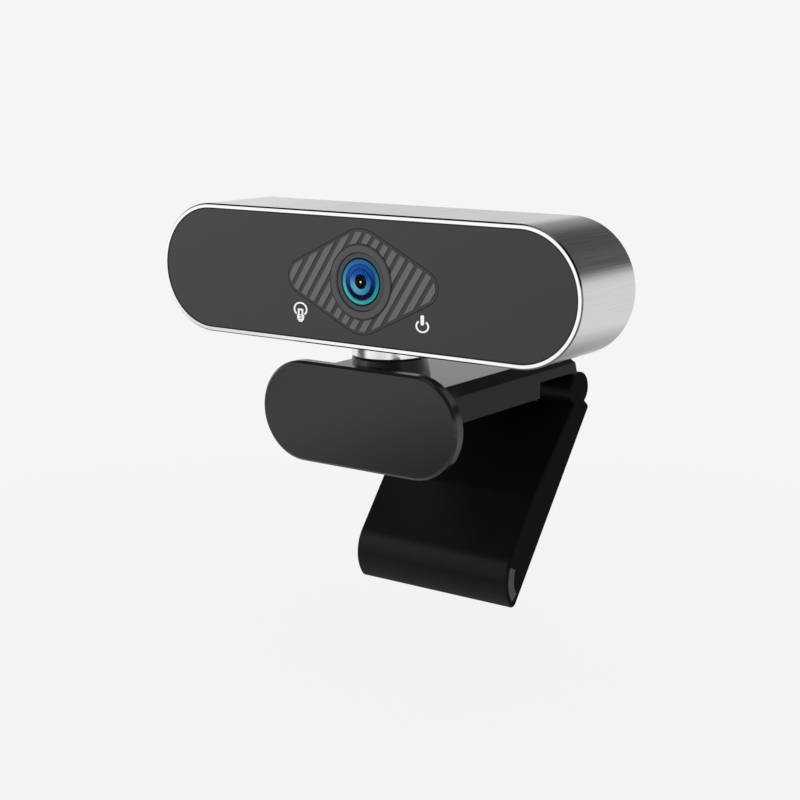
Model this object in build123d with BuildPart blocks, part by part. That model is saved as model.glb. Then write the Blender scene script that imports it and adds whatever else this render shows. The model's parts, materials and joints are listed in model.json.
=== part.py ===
from build123d import *
from math import cos, degrees, radians, sin, tan
import os

# Webcam on a folding monitor clip, in millimetres.
# X runs to the right seen from the front, Y runs backwards and Z runs up.
# The origin is on the upright swivel axis, on the face that rests on the monitor.

# Driving sizes: the head's sleeve, with its front panel and rear cover
head_width = 101.8
head_height = 26.8
head_depth = 20.0
head_setback = 11.8
sleeve_wall = 0.9
rim_chamfer = 0.3
seat_gap = 0.15
panel_recess = 0.1
panel_thickness = 2.0
cover_thickness = 1.8
cover_field_inset = 2.2
cover_field_rise = 1.6
cover_field_fillet = 1.2

# Driving sizes: the lens and the plate round it
lens_shift = 1.6
barrel_radius = 5.65
barrel_rim = 1.05
barrel_mouth = 0.2
barrel_gap = 0.1
ring_width = 1.65
ring_rise = 0.4
ring_sleeve_wall = 0.9
ring_edge_chamfer = 0.2
plate_width = 36.4
plate_margin = 2.0
plate_thickness = 0.6
plate_gap = 0.12
plate_tip_radius = 3.5
plate_crest_radius = 7.0
rib_pitch = 2.65
rib_width = 1.28
rib_height = 0.12
rib_slant = 57.0
rib_border = 0.55
front_glass_depth = 0.35
front_glass_rise = 0.6
front_glass_edge = 1.2
stop_thickness = 0.8
stop_radius = 1.4
rear_glass_thickness = 2.0
rear_glass_bulge = 0.5
element_gap = 0.2
barrel_throat_wall = 2.0

# Driving sizes: what stands behind the panel
board_thickness = 1.2
board_margin = 3.0
board_side_margin = 17.0
back_room = 3.9
back_focus = 3.1
sensor_width = 7.5
sensor_height = 5.6
sensor_thickness = 0.9
filter_size = 7.0
filter_thickness = 0.4
holder_wall = 1.25
holder_grip = 4.5
holder_base_width = 15.0
holder_base_height = 14.0
holder_base_thickness = 2.8
holder_screw_inset = 1.9
post_radius = 1.8
post_side_margin = 4.0
post_edge_margin = 3.0
tower_radius = 2.5
tower_side_margin = 13.0
tower_edge_margin = 6.0
symbol_spread = 14.9
symbol_rise = 5.25
guide_radius = 1.8
guide_gap = 0.1
guide_window = 0.6
led_width = 3.0
led_height = 1.6
led_thickness = 1.0
chip_size = 6.0
chip_thickness = 1.0
chip_gap = 1.0
connector_width = 8.0
connector_height = 3.6
connector_length = 3.2
connector_margin = 13.0

# Driving sizes: cable inlet
cable_radius = 1.9
gland_neck_radius = 3.2
gland_flange_radius = 4.2
gland_flange_thickness = 0.9
gland_nose_length = 1.8
gland_taper = 0.5
gland_seat_gap = 0.1

# Driving sizes: swivel
disc_radius = 7.6
disc_edge_chamfer = 0.35
spigot_radius = 4.5
spigot_gap = 0.1
peg_radius = 0.9
peg_offset = 5.9
swivel_gap = 0.1
disc_height = 2.85
neck_height = 3.8
neck_base_radius = 8.4
neck_spigot_radius = 5.0
washer_radius = 6.0
washer_thickness = 0.6
washer_seat = 0.5
bolt_radius = 2.0
bolt_head_radius = 3.8
bolt_head_height = 2.2
bolt_end = 0.3
running_fit = 0.05
press_fit = 0.02
spring_washer_radius = 4.2
spring_washer_thickness = 0.8
nut_flats = 7.0
nut_height = 3.2
notch_gap = 0.5
bracket_width = 30.0
bracket_length = 12.0
bracket_thickness = 1.5
bracket_corner = 2.0

# Driving sizes: arm of the clip
rest_pad_proud = 0.4
rest_pad_inlay = 0.6
rest_pad_width = 23.0
rest_pad_length = 12.0
arm_width = 38.8
arm_height = 7.3
arm_length = 36.4
arm_slope_width = 2.5
arm_slope_height = 1.8
arm_wall = 1.8
arm_roof = 2.0
arm_floor = 1.4
floor_gap = 0.15
arm_boss_radius = 2.4
arm_boss_inset = 3.1
tail_setback = 1.3
tail_lean = 20.0

# Driving sizes: lip that hangs in front of the screen
lip_width = 48.2
lip_height = 20.8
lip_thickness = 2.4
lip_setback = 11.6
lip_drop = 10.5
lip_edge = 0.5
lip_boss_radius = 2.0
lip_boss_spread = 10.0
lip_pad_width = 34.0
lip_pad_height = 7.2
lip_pad_thickness = 1.0
lip_pad_corner = 2.0
lip_pad_drop = 1.6

# Driving sizes: quarter inch tripod thread, cut at its minor diameter
insert_radius = 4.5
insert_bore_radius = 2.55
insert_boss_wall = 1.5
insert_reach = 11.5

# Driving sizes: hinge and leg
hinge_reach = 16.9
hinge_drop = 0.7
knuckle_radius = 3.75
knuckle_gap = 0.35
knuckle_half_width = 9.6
knuckle_clearance = 0.55
hinge_washer_thickness = 0.6
hinge_washer_radius = 3.3
hinge_washer_gap = 0.1
pin_radius = 1.5
pin_end_wall = 1.8
pin_recess = 0.6
leg_width = 39.2
leg_tilt = 38.2
leg_length = 50.7
leg_back = 6.1
leg_swell = 2.3
leg_swell_end = 28.0
leg_shoulder = 4.2
leg_heel = 0.9
leg_heel_round = 0.8
leg_tip_round = 1.5
leg_edge_round = 0.4
foot_skin = 1.0
foot_pad_thickness = 2.2
foot_pad_start = 14.0
foot_pad_sweep = 64.0
foot_pad_gap = 0.1
leg_cover_width = 33.6
leg_cover_start = 9.0
leg_cover_length = 31.0
leg_cover_thickness = 1.4
leg_cover_corner = 2.0
leg_ledge = 1.2
leg_pocket_depth = 4.0
leg_boss_radius = 2.3
leg_boss_inset = 4.0

# Driving sizes: small screws, with plain heads
screw_radius = 0.9
screw_hole_gap = 0.1
screw_head_radius = 1.7
screw_head_height = 1.0
flush_head_height = 0.7
cover_screw_bite = 7.0
board_screw_bite = 4.0
holder_screw_bite = 2.0
arm_screw_bite = 2.6
leg_screw_bite = 1.6
lip_screw_bite = 1.4

# Heights of the stack from the rest pad up to the head
arm_bottom = rest_pad_proud
arm_top = arm_bottom + arm_height
roof_under = arm_top - arm_roof
floor_top = arm_bottom + arm_floor
neck_top = arm_top + neck_height
disc_bottom = neck_top - washer_seat + washer_thickness + swivel_gap
head_bottom = disc_bottom + disc_height
head_z = head_bottom + head_height / 2
sleeve_floor = head_bottom + sleeve_wall
bracket_top = sleeve_floor + bracket_thickness
nut_top = bracket_top + nut_height

# Inside of the sleeve, with depths counted back from its front edge
inner_width = head_width - 2 * sleeve_wall
inner_height = head_height - 2 * sleeve_wall
panel_width = inner_width - 2 * seat_gap
panel_height = inner_height - 2 * seat_gap
panel_back = panel_recess + panel_thickness
cover_front = head_depth - cover_thickness
cover_back = head_depth + cover_field_rise
board_front = cover_front - back_room - board_thickness
board_back = board_front + board_thickness
board_width = inner_width - 2 * board_side_margin
board_height = inner_height - 2 * board_margin
connector_x = board_width / 2 - connector_margin
post_x = board_width / 2 - post_side_margin
post_z = board_height / 2 - post_edge_margin
tower_x = inner_width / 2 - tower_side_margin
tower_z = inner_height / 2 - tower_edge_margin
symbol_z = symbol_rise - panel_height / 2
screw_hole_radius = screw_radius + screw_hole_gap
screw_pilot = screw_radius + press_fit
screw_head_hole = screw_head_radius + screw_hole_gap

# Lens depths, counted back from the sleeve's front edge
plate_height = panel_height - 2 * plate_margin
ring_radius = barrel_radius + ring_width
ring_bore = barrel_radius + barrel_gap
ring_sleeve_radius = ring_bore + ring_sleeve_wall
bore_radius = barrel_radius - barrel_rim
glass_radius = bore_radius - press_fit
barrel_back = board_front - back_focus
stop_front = front_glass_depth + front_glass_edge + element_gap
rear_glass_front = stop_front + stop_thickness + element_gap
rear_glass_back = rear_glass_front + rear_glass_thickness
throat_radius = barrel_radius - barrel_throat_wall
throat_front = rear_glass_back + rear_glass_bulge
holder_front = barrel_back - holder_grip
holder_step = board_front - holder_base_thickness
holder_radius = barrel_radius + barrel_gap + holder_wall
holder_screw_x = holder_base_width / 2 - holder_screw_inset
holder_screw_z = holder_base_height / 2 - holder_screw_inset
memory_x = lens_shift - holder_screw_x - screw_head_radius - chip_gap - chip_size / 2
processor_x = memory_x - chip_gap - chip_size
filter_front = board_front - sensor_thickness - element_gap - filter_thickness

# Plan of the clip, seen from above and from the side
lip_back = lip_thickness - lip_setback
lip_z = arm_bottom + lip_height / 2 - lip_drop
arm_front = lip_back
block_rear = arm_front + arm_length
hinge_y = block_rear + hinge_reach
hinge_z = arm_bottom - hinge_drop
tail_under = hinge_z + knuckle_radius + knuckle_gap
tail_end = hinge_y - tail_setback
tail_top_end = tail_end - (arm_top - tail_under) * tan(radians(tail_lean))
pocket_front = arm_front + arm_wall
pocket_rear = block_rear - arm_wall
pocket_width = arm_width - 2 * arm_wall
pocket_length = pocket_rear - pocket_front
pocket_middle = (pocket_front + pocket_rear) / 2
arm_boss_x = pocket_width / 2 - arm_boss_inset
arm_boss_y = pocket_length / 2 - arm_boss_inset
lip_boss_z = (floor_top + roof_under) / 2
leg_gap_half = knuckle_half_width + hinge_washer_thickness + 2 * hinge_washer_gap
foot_radius = leg_swell + leg_back
foot_centre = leg_length - foot_radius
leg_cover_middle = leg_cover_start + leg_cover_length / 2
leg_lid_width = leg_cover_width - 2 * floor_gap
leg_lid_length = leg_cover_length - 2 * floor_gap
leg_boss_pitch = leg_cover_length - 2 * leg_ledge - 2 * leg_boss_inset

# Directions of the leg: along it towards the foot, and out of its front face
leg_along = Vector(0, -sin(radians(leg_tilt)), -cos(radians(leg_tilt)))
leg_outwards = Vector(0, -cos(radians(leg_tilt)), sin(radians(leg_tilt)))
hinge_point = Vector(0, hinge_y, hinge_z)

# Planes that the pieces are drawn on
leg_side = Plane(origin=hinge_point, x_dir=leg_along, z_dir=(-1, 0, 0))
leg_rear = Plane(origin=hinge_point - leg_outwards * leg_back, x_dir=(1, 0, 0), z_dir=leg_outwards * -1)
lens_section = Plane(origin=(lens_shift, -head_setback, head_z), x_dir=(1, 0, 0), z_dir=(0, 0, 1))
lens_axis = Axis((lens_shift, -head_setback, head_z), (0, 1, 0))
gland_section = Plane(origin=(0, -head_setback, head_z), x_dir=(1, 0, 0), z_dir=(0, 0, 1))
gland_axis = Axis((0, -head_setback, head_z), (0, 1, 0))
lip_face = Plane(origin=(0, -lip_setback, lip_z), x_dir=(1, 0, 0), z_dir=(0, -1, 0))
from_base = (Align.CENTER, Align.CENTER, Align.MIN)
to_top = (Align.CENTER, Align.CENTER, Align.MAX)

os.makedirs("parts", exist_ok=True)


def head_plane(depth, across=0):
    """Plane parallel to the front panel, this deep in the sleeve: x is across and y is up."""
    return Plane(origin=(across, depth - head_setback, head_z), x_dir=(1, 0, 0), z_dir=(0, -1, 0))


def draw_plate_outline(margin):
    """Draws the rounded rhombus round the lens, smaller by a margin, as the hull of four circles."""
    tip = plate_tip_radius - margin
    crest = plate_crest_radius - margin
    with Locations((plate_width / 2 - plate_tip_radius, 0), (plate_tip_radius - plate_width / 2, 0)):
        Circle(tip)
    with Locations((0, plate_height / 2 - plate_crest_radius), (0, plate_crest_radius - plate_height / 2)):
        Circle(crest)
    make_hull()


def draw_foot_band(margin):
    """Draws the arched section of the foot pad under the quarter-round's skin, larger by a margin."""
    centre = (foot_centre, -leg_back)
    pad_radius = foot_radius - foot_skin
    spare = degrees(margin / pad_radius)
    start = foot_pad_start - spare
    sweep_angle = foot_pad_sweep + 2 * spare
    with BuildLine() as band:
        outer = CenterArc(centre, pad_radius + margin, start, sweep_angle)
        inner = CenterArc(centre, pad_radius - foot_pad_thickness - margin, start, sweep_angle)
        Line(outer @ 0, inner @ 0)
        Line(outer @ 1, inner @ 1)
    make_face(band.edges())


# Aluminium sleeve of the head
with BuildPart() as body_shell:
    with BuildSketch(head_plane(0)):
        SlotOverall(head_width, head_height)
    extrude(amount=-head_depth)
    chamfer(body_shell.faces().sort_by(Axis.Y)[0].edges(), rim_chamfer)
    with BuildSketch(head_plane(0)):
        SlotOverall(inner_width, inner_height)
    extrude(amount=-head_depth, mode=Mode.SUBTRACT)
    with BuildSketch(Plane.XY.offset(head_bottom)):
        Circle(spigot_radius + spigot_gap)
        with PolarLocations(peg_offset, 2):
            Circle(peg_radius + spigot_gap)
    extrude(amount=sleeve_wall, mode=Mode.SUBTRACT)

# Front panel with its screw towers, board posts, lens hole and pockets for the light guides
with BuildPart() as front_panel:
    with BuildSketch(head_plane(panel_recess)):
        SlotOverall(panel_width, panel_height)
    extrude(amount=-panel_thickness)
    with BuildSketch(head_plane(panel_back)):
        with GridLocations(2 * tower_x, 2 * tower_z, 2, 2):
            Circle(tower_radius)
    extrude(amount=-(cover_front - panel_back))
    with BuildSketch(head_plane(panel_back)):
        with GridLocations(2 * post_x, 2 * post_z, 2, 2):
            Circle(post_radius)
    extrude(amount=-(board_front - panel_back))
    with BuildSketch(head_plane(cover_front)):
        with GridLocations(2 * tower_x, 2 * tower_z, 2, 2):
            Circle(screw_pilot)
    extrude(amount=cover_screw_bite, mode=Mode.SUBTRACT)
    with BuildSketch(head_plane(board_front)):
        with GridLocations(2 * post_x, 2 * post_z, 2, 2):
            Circle(screw_pilot)
    extrude(amount=board_screw_bite, mode=Mode.SUBTRACT)
    with BuildSketch(head_plane(panel_recess, lens_shift)):
        draw_plate_outline(-plate_gap)
    extrude(amount=-plate_thickness, mode=Mode.SUBTRACT)
    with BuildSketch(head_plane(0, lens_shift)):
        Circle(ring_sleeve_radius + barrel_gap)
    extrude(amount=-panel_back, mode=Mode.SUBTRACT)
    with BuildSketch(head_plane(panel_back, lens_shift)):
        with Locations((-symbol_spread, symbol_z), (symbol_spread, symbol_z)):
            Circle(guide_radius + guide_gap)
    extrude(amount=panel_thickness - guide_window, mode=Mode.SUBTRACT)

# Rhombus inlay with slanted ribs
with BuildPart() as lens_plate:
    with BuildSketch(head_plane(panel_recess, lens_shift)):
        draw_plate_outline(0)
        Circle(ring_sleeve_radius + barrel_gap, mode=Mode.SUBTRACT)
    extrude(amount=-plate_thickness)
    with BuildSketch(head_plane(panel_recess, lens_shift)):
        rib_count = 2 * (int(plate_width / (2 * rib_pitch)) + 1)
        with GridLocations(rib_pitch, 0, rib_count, 1):
            Rectangle(rib_width, 2 * plate_height, rotation=rib_slant - 90)
        with BuildSketch(mode=Mode.INTERSECT):
            draw_plate_outline(rib_border)
        Circle(ring_radius + plate_gap, mode=Mode.SUBTRACT)
    extrude(amount=rib_height)

# Bezel ring with a sleeve through the plate and the panel
with BuildPart() as lens_ring:
    with BuildSketch(lens_section):
        with Locations((ring_bore, panel_recess - ring_rise)):
            Rectangle(ring_radius - ring_bore, ring_rise, align=(Align.MIN, Align.MIN))
        with Locations((ring_bore, panel_recess)):
            Rectangle(ring_sleeve_wall, panel_thickness, align=(Align.MIN, Align.MIN))
    revolve(axis=lens_axis)
    chamfer(lens_ring.faces().sort_by(Axis.Y)[0].edges(), ring_edge_chamfer)

# Lens tube with a flared mouth, a bore for the elements and a narrow throat
with BuildPart() as lens_barrel:
    with BuildSketch(lens_section):
        Polygon(
            (bore_radius + barrel_mouth, 0),
            (barrel_radius, 0),
            (barrel_radius, barrel_back),
            (throat_radius, barrel_back),
            (throat_radius, throat_front),
            (bore_radius, throat_front),
            (bore_radius, front_glass_depth),
        )
    revolve(axis=lens_axis)

# Domed front element
with BuildPart() as lens_front_glass:
    with BuildSketch(lens_section):
        with BuildLine():
            dome = ThreePointArc(
                (-glass_radius, front_glass_depth),
                (0, front_glass_depth - front_glass_rise),
                (glass_radius, front_glass_depth),
            )
            Polyline(
                dome @ 1,
                (glass_radius, front_glass_depth + front_glass_edge),
                (-glass_radius, front_glass_depth + front_glass_edge),
                dome @ 0,
            )
        make_face()
        split(bisect_by=Plane.YZ, keep=Keep.TOP)
    revolve(axis=lens_axis)

# Aperture ring whose hole opens towards the front
with BuildPart() as lens_stop:
    with BuildSketch(lens_section):
        Polygon(
            (stop_radius + stop_thickness, stop_front),
            (glass_radius, stop_front),
            (glass_radius, stop_front + stop_thickness),
            (stop_radius, stop_front + stop_thickness),
        )
    revolve(axis=lens_axis)

# Second element, bulging backwards
with BuildPart() as lens_rear_glass:
    with BuildSketch(lens_section):
        with BuildLine():
            bulge = ThreePointArc(
                (-glass_radius, rear_glass_back),
                (0, rear_glass_back + rear_glass_bulge),
                (glass_radius, rear_glass_back),
            )
            Polyline(
                bulge @ 1,
                (glass_radius, rear_glass_front),
                (-glass_radius, rear_glass_front),
                bulge @ 0,
            )
        make_face()
        split(bisect_by=Plane.YZ, keep=Keep.TOP)
    revolve(axis=lens_axis)

# Socket that holds the lens tube over the sensor
with BuildPart() as lens_holder:
    with BuildSketch(head_plane(board_front, lens_shift)):
        RectangleRounded(holder_base_width, holder_base_height, holder_screw_inset)
    extrude(amount=holder_base_thickness)
    with BuildSketch(head_plane(holder_step, lens_shift)):
        Circle(holder_radius)
    extrude(amount=holder_step - holder_front)
    with BuildSketch(head_plane(holder_front, lens_shift)):
        Circle(barrel_radius + barrel_gap)
    extrude(amount=-(barrel_back + barrel_gap - holder_front), mode=Mode.SUBTRACT)
    with BuildSketch(head_plane(board_front, lens_shift)):
        Rectangle(filter_size + 2 * barrel_gap, filter_size + 2 * barrel_gap)
        Rectangle(sensor_width + 2 * barrel_gap, sensor_height + 2 * barrel_gap)
    extrude(amount=board_front - filter_front, mode=Mode.SUBTRACT)
    with BuildSketch(head_plane(board_front, lens_shift)):
        Circle(throat_radius)
    extrude(amount=board_front - barrel_back, mode=Mode.SUBTRACT)
    with BuildSketch(head_plane(board_front, lens_shift)):
        with Locations((-holder_screw_x, holder_screw_z), (holder_screw_x, -holder_screw_z)):
            Circle(screw_pilot)
    extrude(amount=holder_screw_bite, mode=Mode.SUBTRACT)

# Two screws that hold the socket from behind the board
with BuildPart(head_plane(board_back, lens_shift)) as lens_holder_screws:
    with Locations((-holder_screw_x, holder_screw_z), (holder_screw_x, -holder_screw_z)):
        Cylinder(screw_head_radius, screw_head_height, align=to_top)
        Cylinder(screw_radius, board_thickness + holder_screw_bite, align=from_base)

# Infrared filter in its seat over the sensor
with BuildPart() as ir_filter:
    with BuildSketch(head_plane(filter_front, lens_shift)):
        Rectangle(filter_size, filter_size)
    extrude(amount=-filter_thickness)

# Image sensor on the board
with BuildPart() as image_sensor:
    with BuildSketch(head_plane(board_front, lens_shift)):
        Rectangle(sensor_width, sensor_height)
    extrude(amount=sensor_thickness)

# Circuit board, notched over the swivel nut
with BuildPart() as main_board:
    with BuildSketch(head_plane(board_front)):
        RectangleRounded(board_width, board_height, post_edge_margin / 2)
        with Locations((0, nut_top + bolt_end + notch_gap - head_z)):
            Rectangle(2 * nut_flats, board_height, align=(Align.CENTER, Align.MAX), mode=Mode.SUBTRACT)
        with GridLocations(2 * post_x, 2 * post_z, 2, 2):
            Circle(screw_hole_radius, mode=Mode.SUBTRACT)
        with Locations(
            (lens_shift - holder_screw_x, holder_screw_z),
            (lens_shift + holder_screw_x, -holder_screw_z),
        ):
            Circle(screw_hole_radius, mode=Mode.SUBTRACT)
    extrude(amount=-board_thickness)

# Processor, memory and regulator on the back of the board
with BuildPart() as board_chips:
    with BuildSketch(head_plane(board_back)):
        with Locations((processor_x, 0)):
            Rectangle(chip_size, chip_size)
        with Locations((memory_x, chip_size / 2)):
            Rectangle(chip_size, chip_size * 2 / 3)
        with Locations((connector_x, -chip_size / 2)):
            Rectangle(chip_size * 2 / 3, chip_size / 2)
    extrude(amount=-chip_thickness)

# Four screws through the board into the panel's posts
with BuildPart(head_plane(board_back)) as board_screws:
    with GridLocations(2 * post_x, 2 * post_z, 2, 2):
        Cylinder(screw_head_radius, screw_head_height, align=to_top)
        Cylinder(screw_radius, board_thickness + board_screw_bite, align=from_base)

# Socket for the cable on the back of the board
with BuildPart() as board_connector:
    with BuildSketch(head_plane(board_back)):
        with Locations((connector_x, connector_height)):
            Rectangle(connector_width, connector_height)
    extrude(amount=-connector_length)
    open_face = board_connector.faces().sort_by(Axis.Y)[-1]
    offset(amount=-connector_height / 5, openings=open_face)

# One indicator behind each symbol
with BuildPart() as indicator_leds:
    with BuildSketch(head_plane(board_front, lens_shift)):
        with Locations((-symbol_spread, symbol_z), (symbol_spread, symbol_z)):
            Rectangle(led_width, led_height)
    extrude(amount=led_thickness)

# Clear rods that bring the light to the symbols
with BuildPart() as light_guides:
    with BuildSketch(head_plane(panel_recess + guide_window + guide_gap, lens_shift)):
        with Locations((-symbol_spread, symbol_z), (symbol_spread, symbol_z)):
            Circle(guide_radius)
    extrude(amount=-(board_front - led_thickness - panel_recess - guide_window - 2 * guide_gap))

# Rear cover with a raised field, screw seats and the cable hole
with BuildPart() as rear_cover:
    with BuildSketch(head_plane(cover_front)):
        SlotOverall(panel_width, panel_height)
    extrude(amount=-cover_thickness)
    with BuildSketch(head_plane(head_depth)):
        SlotOverall(panel_width - 2 * cover_field_inset, panel_height - 2 * cover_field_inset)
    extrude(amount=-cover_field_rise)
    fillet(rear_cover.faces().sort_by(Axis.Y)[-1].edges(), cover_field_fillet)
    with BuildSketch(head_plane(cover_front)):
        with GridLocations(2 * tower_x, 2 * tower_z, 2, 2):
            Circle(screw_hole_radius)
        Circle(gland_neck_radius + gland_seat_gap)
    extrude(amount=-(cover_back - cover_front), mode=Mode.SUBTRACT)
    with BuildSketch(head_plane(cover_back)):
        with GridLocations(2 * tower_x, 2 * tower_z, 2, 2):
            Circle(screw_head_hole)
    extrude(amount=cover_field_rise, mode=Mode.SUBTRACT)

# Four long screws from the back into the panel's towers
with BuildPart(head_plane(head_depth)) as cover_screws:
    with GridLocations(2 * tower_x, 2 * tower_z, 2, 2):
        Cylinder(screw_head_radius, screw_head_height, align=to_top)
        Cylinder(screw_radius, cover_thickness + cover_screw_bite, align=from_base)

# Rubber cable gland with a groove for the rear cover's hole
with BuildPart() as cable_gland:
    with BuildSketch(gland_section):
        Polygon(
            (cable_radius, cover_front - gland_flange_thickness),
            (gland_flange_radius, cover_front - gland_flange_thickness),
            (gland_flange_radius, cover_front),
            (gland_neck_radius, cover_front),
            (gland_neck_radius, cover_back),
            (gland_flange_radius, cover_back),
            (gland_flange_radius - gland_taper, cover_back + gland_nose_length),
            (cable_radius, cover_back + gland_nose_length),
        )
    revolve(axis=gland_axis)

# Polished disc under the head, with a spigot and two pegs through the sleeve
with BuildPart() as swivel_disc:
    with BuildSketch(Plane.XY.offset(disc_bottom)):
        Circle(disc_radius)
    extrude(amount=disc_height)
    chamfer(swivel_disc.edges().filter_by(GeomType.CIRCLE), disc_edge_chamfer)
    with BuildSketch(Plane.XY.offset(head_bottom)):
        Circle(spigot_radius)
        with PolarLocations(peg_offset, 2):
            Circle(peg_radius)
    extrude(amount=sleeve_wall)
    with BuildSketch(Plane.XY.offset(disc_bottom)):
        Circle(bolt_radius + press_fit)
    extrude(amount=disc_height + sleeve_wall, mode=Mode.SUBTRACT)

# Steel plate on the sleeve's floor
with BuildPart() as swivel_bracket:
    with BuildSketch(Plane.XY.offset(sleeve_floor)):
        RectangleRounded(bracket_width, bracket_length, bracket_corner)
        Circle(bolt_radius + press_fit, mode=Mode.SUBTRACT)
    extrude(amount=bracket_thickness)

# Swivel bolt: its head turns in the arm and its thread is held in the head
with BuildPart() as swivel_bolt:
    bolt_seat = roof_under - spring_washer_thickness - swivel_gap
    with BuildSketch(Plane.XY.offset(bolt_seat)):
        Circle(bolt_head_radius)
    extrude(amount=-bolt_head_height)
    with BuildSketch(Plane.XY.offset(bolt_seat)):
        Circle(bolt_radius)
    extrude(amount=nut_top + bolt_end - bolt_seat)

# Nut on the bracket
with BuildPart() as swivel_nut:
    with BuildSketch(Plane.XY.offset(bracket_top)):
        RegularPolygon(nut_flats / 2, 6, major_radius=False)
        Circle(bolt_radius + press_fit, mode=Mode.SUBTRACT)
    extrude(amount=nut_height)

# Black cone between the arm and the disc, with a spigot through the arm's roof
with BuildPart() as neck_collar:
    with BuildSketch(Plane.XZ):
        Polygon(
            (bolt_radius + running_fit, roof_under),
            (neck_spigot_radius, roof_under),
            (neck_spigot_radius, arm_top),
            (neck_base_radius, arm_top),
            (disc_radius, neck_top),
            (washer_radius + spigot_gap, neck_top),
            (washer_radius + spigot_gap, neck_top - washer_seat),
            (bolt_radius + running_fit, neck_top - washer_seat),
        )
    revolve(axis=Axis.Z)

# Friction washer in the neck's recess
with BuildPart() as friction_washer:
    with BuildSketch(Plane.XY.offset(neck_top - washer_seat)):
        Circle(washer_radius)
        Circle(bolt_radius + spigot_gap, mode=Mode.SUBTRACT)
    extrude(amount=washer_thickness)

# Spring washer between the arm's roof and the bolt head
with BuildPart() as spring_washer:
    with BuildSketch(Plane.XY.offset(roof_under)):
        Circle(spring_washer_radius)
        Circle(bolt_radius + spigot_gap, mode=Mode.SUBTRACT)
    extrude(amount=-spring_washer_thickness)

# Arm: sloped section cut to the side profile, hollow below, with bosses and the middle knuckle
with BuildPart() as arm_shell:
    with BuildSketch(Plane.XZ.offset(-arm_front)):
        Polygon(
            (-arm_width / 2, arm_bottom),
            (arm_width / 2, arm_bottom),
            (arm_width / 2, arm_top - arm_slope_height),
            (arm_width / 2 - arm_slope_width, arm_top),
            (arm_slope_width - arm_width / 2, arm_top),
            (-arm_width / 2, arm_top - arm_slope_height),
        )
    extrude(amount=-(tail_end - arm_front))
    with BuildSketch(Plane.YZ):
        Polygon(
            (arm_front, arm_bottom),
            (block_rear, arm_bottom),
            (block_rear, tail_under),
            (tail_end, tail_under),
            (tail_top_end, arm_top),
            (arm_front, arm_top),
        )
    extrude(amount=arm_width, both=True, mode=Mode.INTERSECT)
    with BuildSketch(Plane.XY.offset(arm_bottom)):
        with Locations((0, pocket_middle)):
            Rectangle(pocket_width, pocket_length)
    extrude(amount=roof_under - arm_bottom, mode=Mode.SUBTRACT)
    with BuildSketch(Plane.XY.offset(floor_top)):
        with Locations((0, pocket_middle)):
            with GridLocations(2 * arm_boss_x, 2 * arm_boss_y, 2, 2):
                Circle(arm_boss_radius)
        with Locations((0, insert_reach)):
            Circle(insert_radius + insert_boss_wall)
    extrude(amount=roof_under - floor_top)
    with BuildSketch(Plane.XY.offset(floor_top)):
        with Locations((0, pocket_middle)):
            with GridLocations(2 * arm_boss_x, 2 * arm_boss_y, 2, 2):
                Circle(screw_pilot)
    extrude(amount=arm_screw_bite, mode=Mode.SUBTRACT)
    with BuildSketch(Plane.XY.offset(floor_top)):
        with Locations((0, insert_reach)):
            Circle(insert_radius + press_fit)
    extrude(amount=roof_under - floor_top, mode=Mode.SUBTRACT)
    with BuildSketch(Plane.XY.offset(roof_under)):
        Circle(neck_spigot_radius + press_fit)
    extrude(amount=arm_roof, mode=Mode.SUBTRACT)
    with BuildSketch(Plane.XZ.offset(-arm_front)):
        with Locations((-lip_boss_spread, lip_boss_z), (lip_boss_spread, lip_boss_z)):
            Circle(lip_boss_radius + press_fit)
    extrude(amount=-arm_wall, mode=Mode.SUBTRACT)
    with BuildSketch(Plane.YZ):
        Polygon(
            (block_rear, arm_bottom),
            (hinge_y, arm_bottom),
            (hinge_y, hinge_z + knuckle_radius),
            (tail_end, tail_under),
            (block_rear, tail_under),
        )
        with Locations((hinge_y, hinge_z)):
            Circle(knuckle_radius)
    extrude(amount=knuckle_half_width, both=True)
    with BuildSketch(Plane.YZ):
        with Locations((hinge_y, hinge_z)):
            Circle(pin_radius + running_fit)
    extrude(amount=knuckle_half_width, both=True, mode=Mode.SUBTRACT)

# Bottom cover of the arm with the pad's recess and the holes for the screws and the insert
with BuildPart() as arm_bottom_cover:
    with BuildSketch(Plane.XY.offset(arm_bottom)):
        with Locations((0, pocket_middle)):
            Rectangle(pocket_width - 2 * floor_gap, pocket_length - 2 * floor_gap)
            with GridLocations(2 * arm_boss_x, 2 * arm_boss_y, 2, 2):
                Circle(screw_hole_radius, mode=Mode.SUBTRACT)
        with Locations((0, insert_reach)):
            Circle(insert_radius + floor_gap, mode=Mode.SUBTRACT)
    extrude(amount=arm_floor)
    with BuildSketch(Plane.XY.offset(arm_bottom)):
        RectangleRounded(rest_pad_width + 2 * floor_gap, rest_pad_length + 2 * floor_gap, lip_pad_corner)
    extrude(amount=rest_pad_inlay, mode=Mode.SUBTRACT)
    with BuildSketch(Plane.XY.offset(arm_bottom)):
        with Locations((0, pocket_middle)):
            with GridLocations(2 * arm_boss_x, 2 * arm_boss_y, 2, 2):
                Circle(screw_head_hole)
    extrude(amount=flush_head_height, mode=Mode.SUBTRACT)

# Rubber pad that rests on the monitor's top edge
with BuildPart() as rest_pad:
    with BuildSketch():
        RectangleRounded(rest_pad_width, rest_pad_length, lip_pad_corner)
    extrude(amount=rest_pad_proud + rest_pad_inlay)

# Screws of the bottom cover, flush with its underside
with BuildPart(Plane.XY.offset(arm_bottom + flush_head_height)) as arm_cover_screws:
    with Locations((0, pocket_middle)):
        with GridLocations(2 * arm_boss_x, 2 * arm_boss_y, 2, 2):
            Cylinder(screw_head_radius, flush_head_height, align=to_top)
            Cylinder(screw_radius, arm_floor - flush_head_height + arm_screw_bite, align=from_base)

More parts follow.
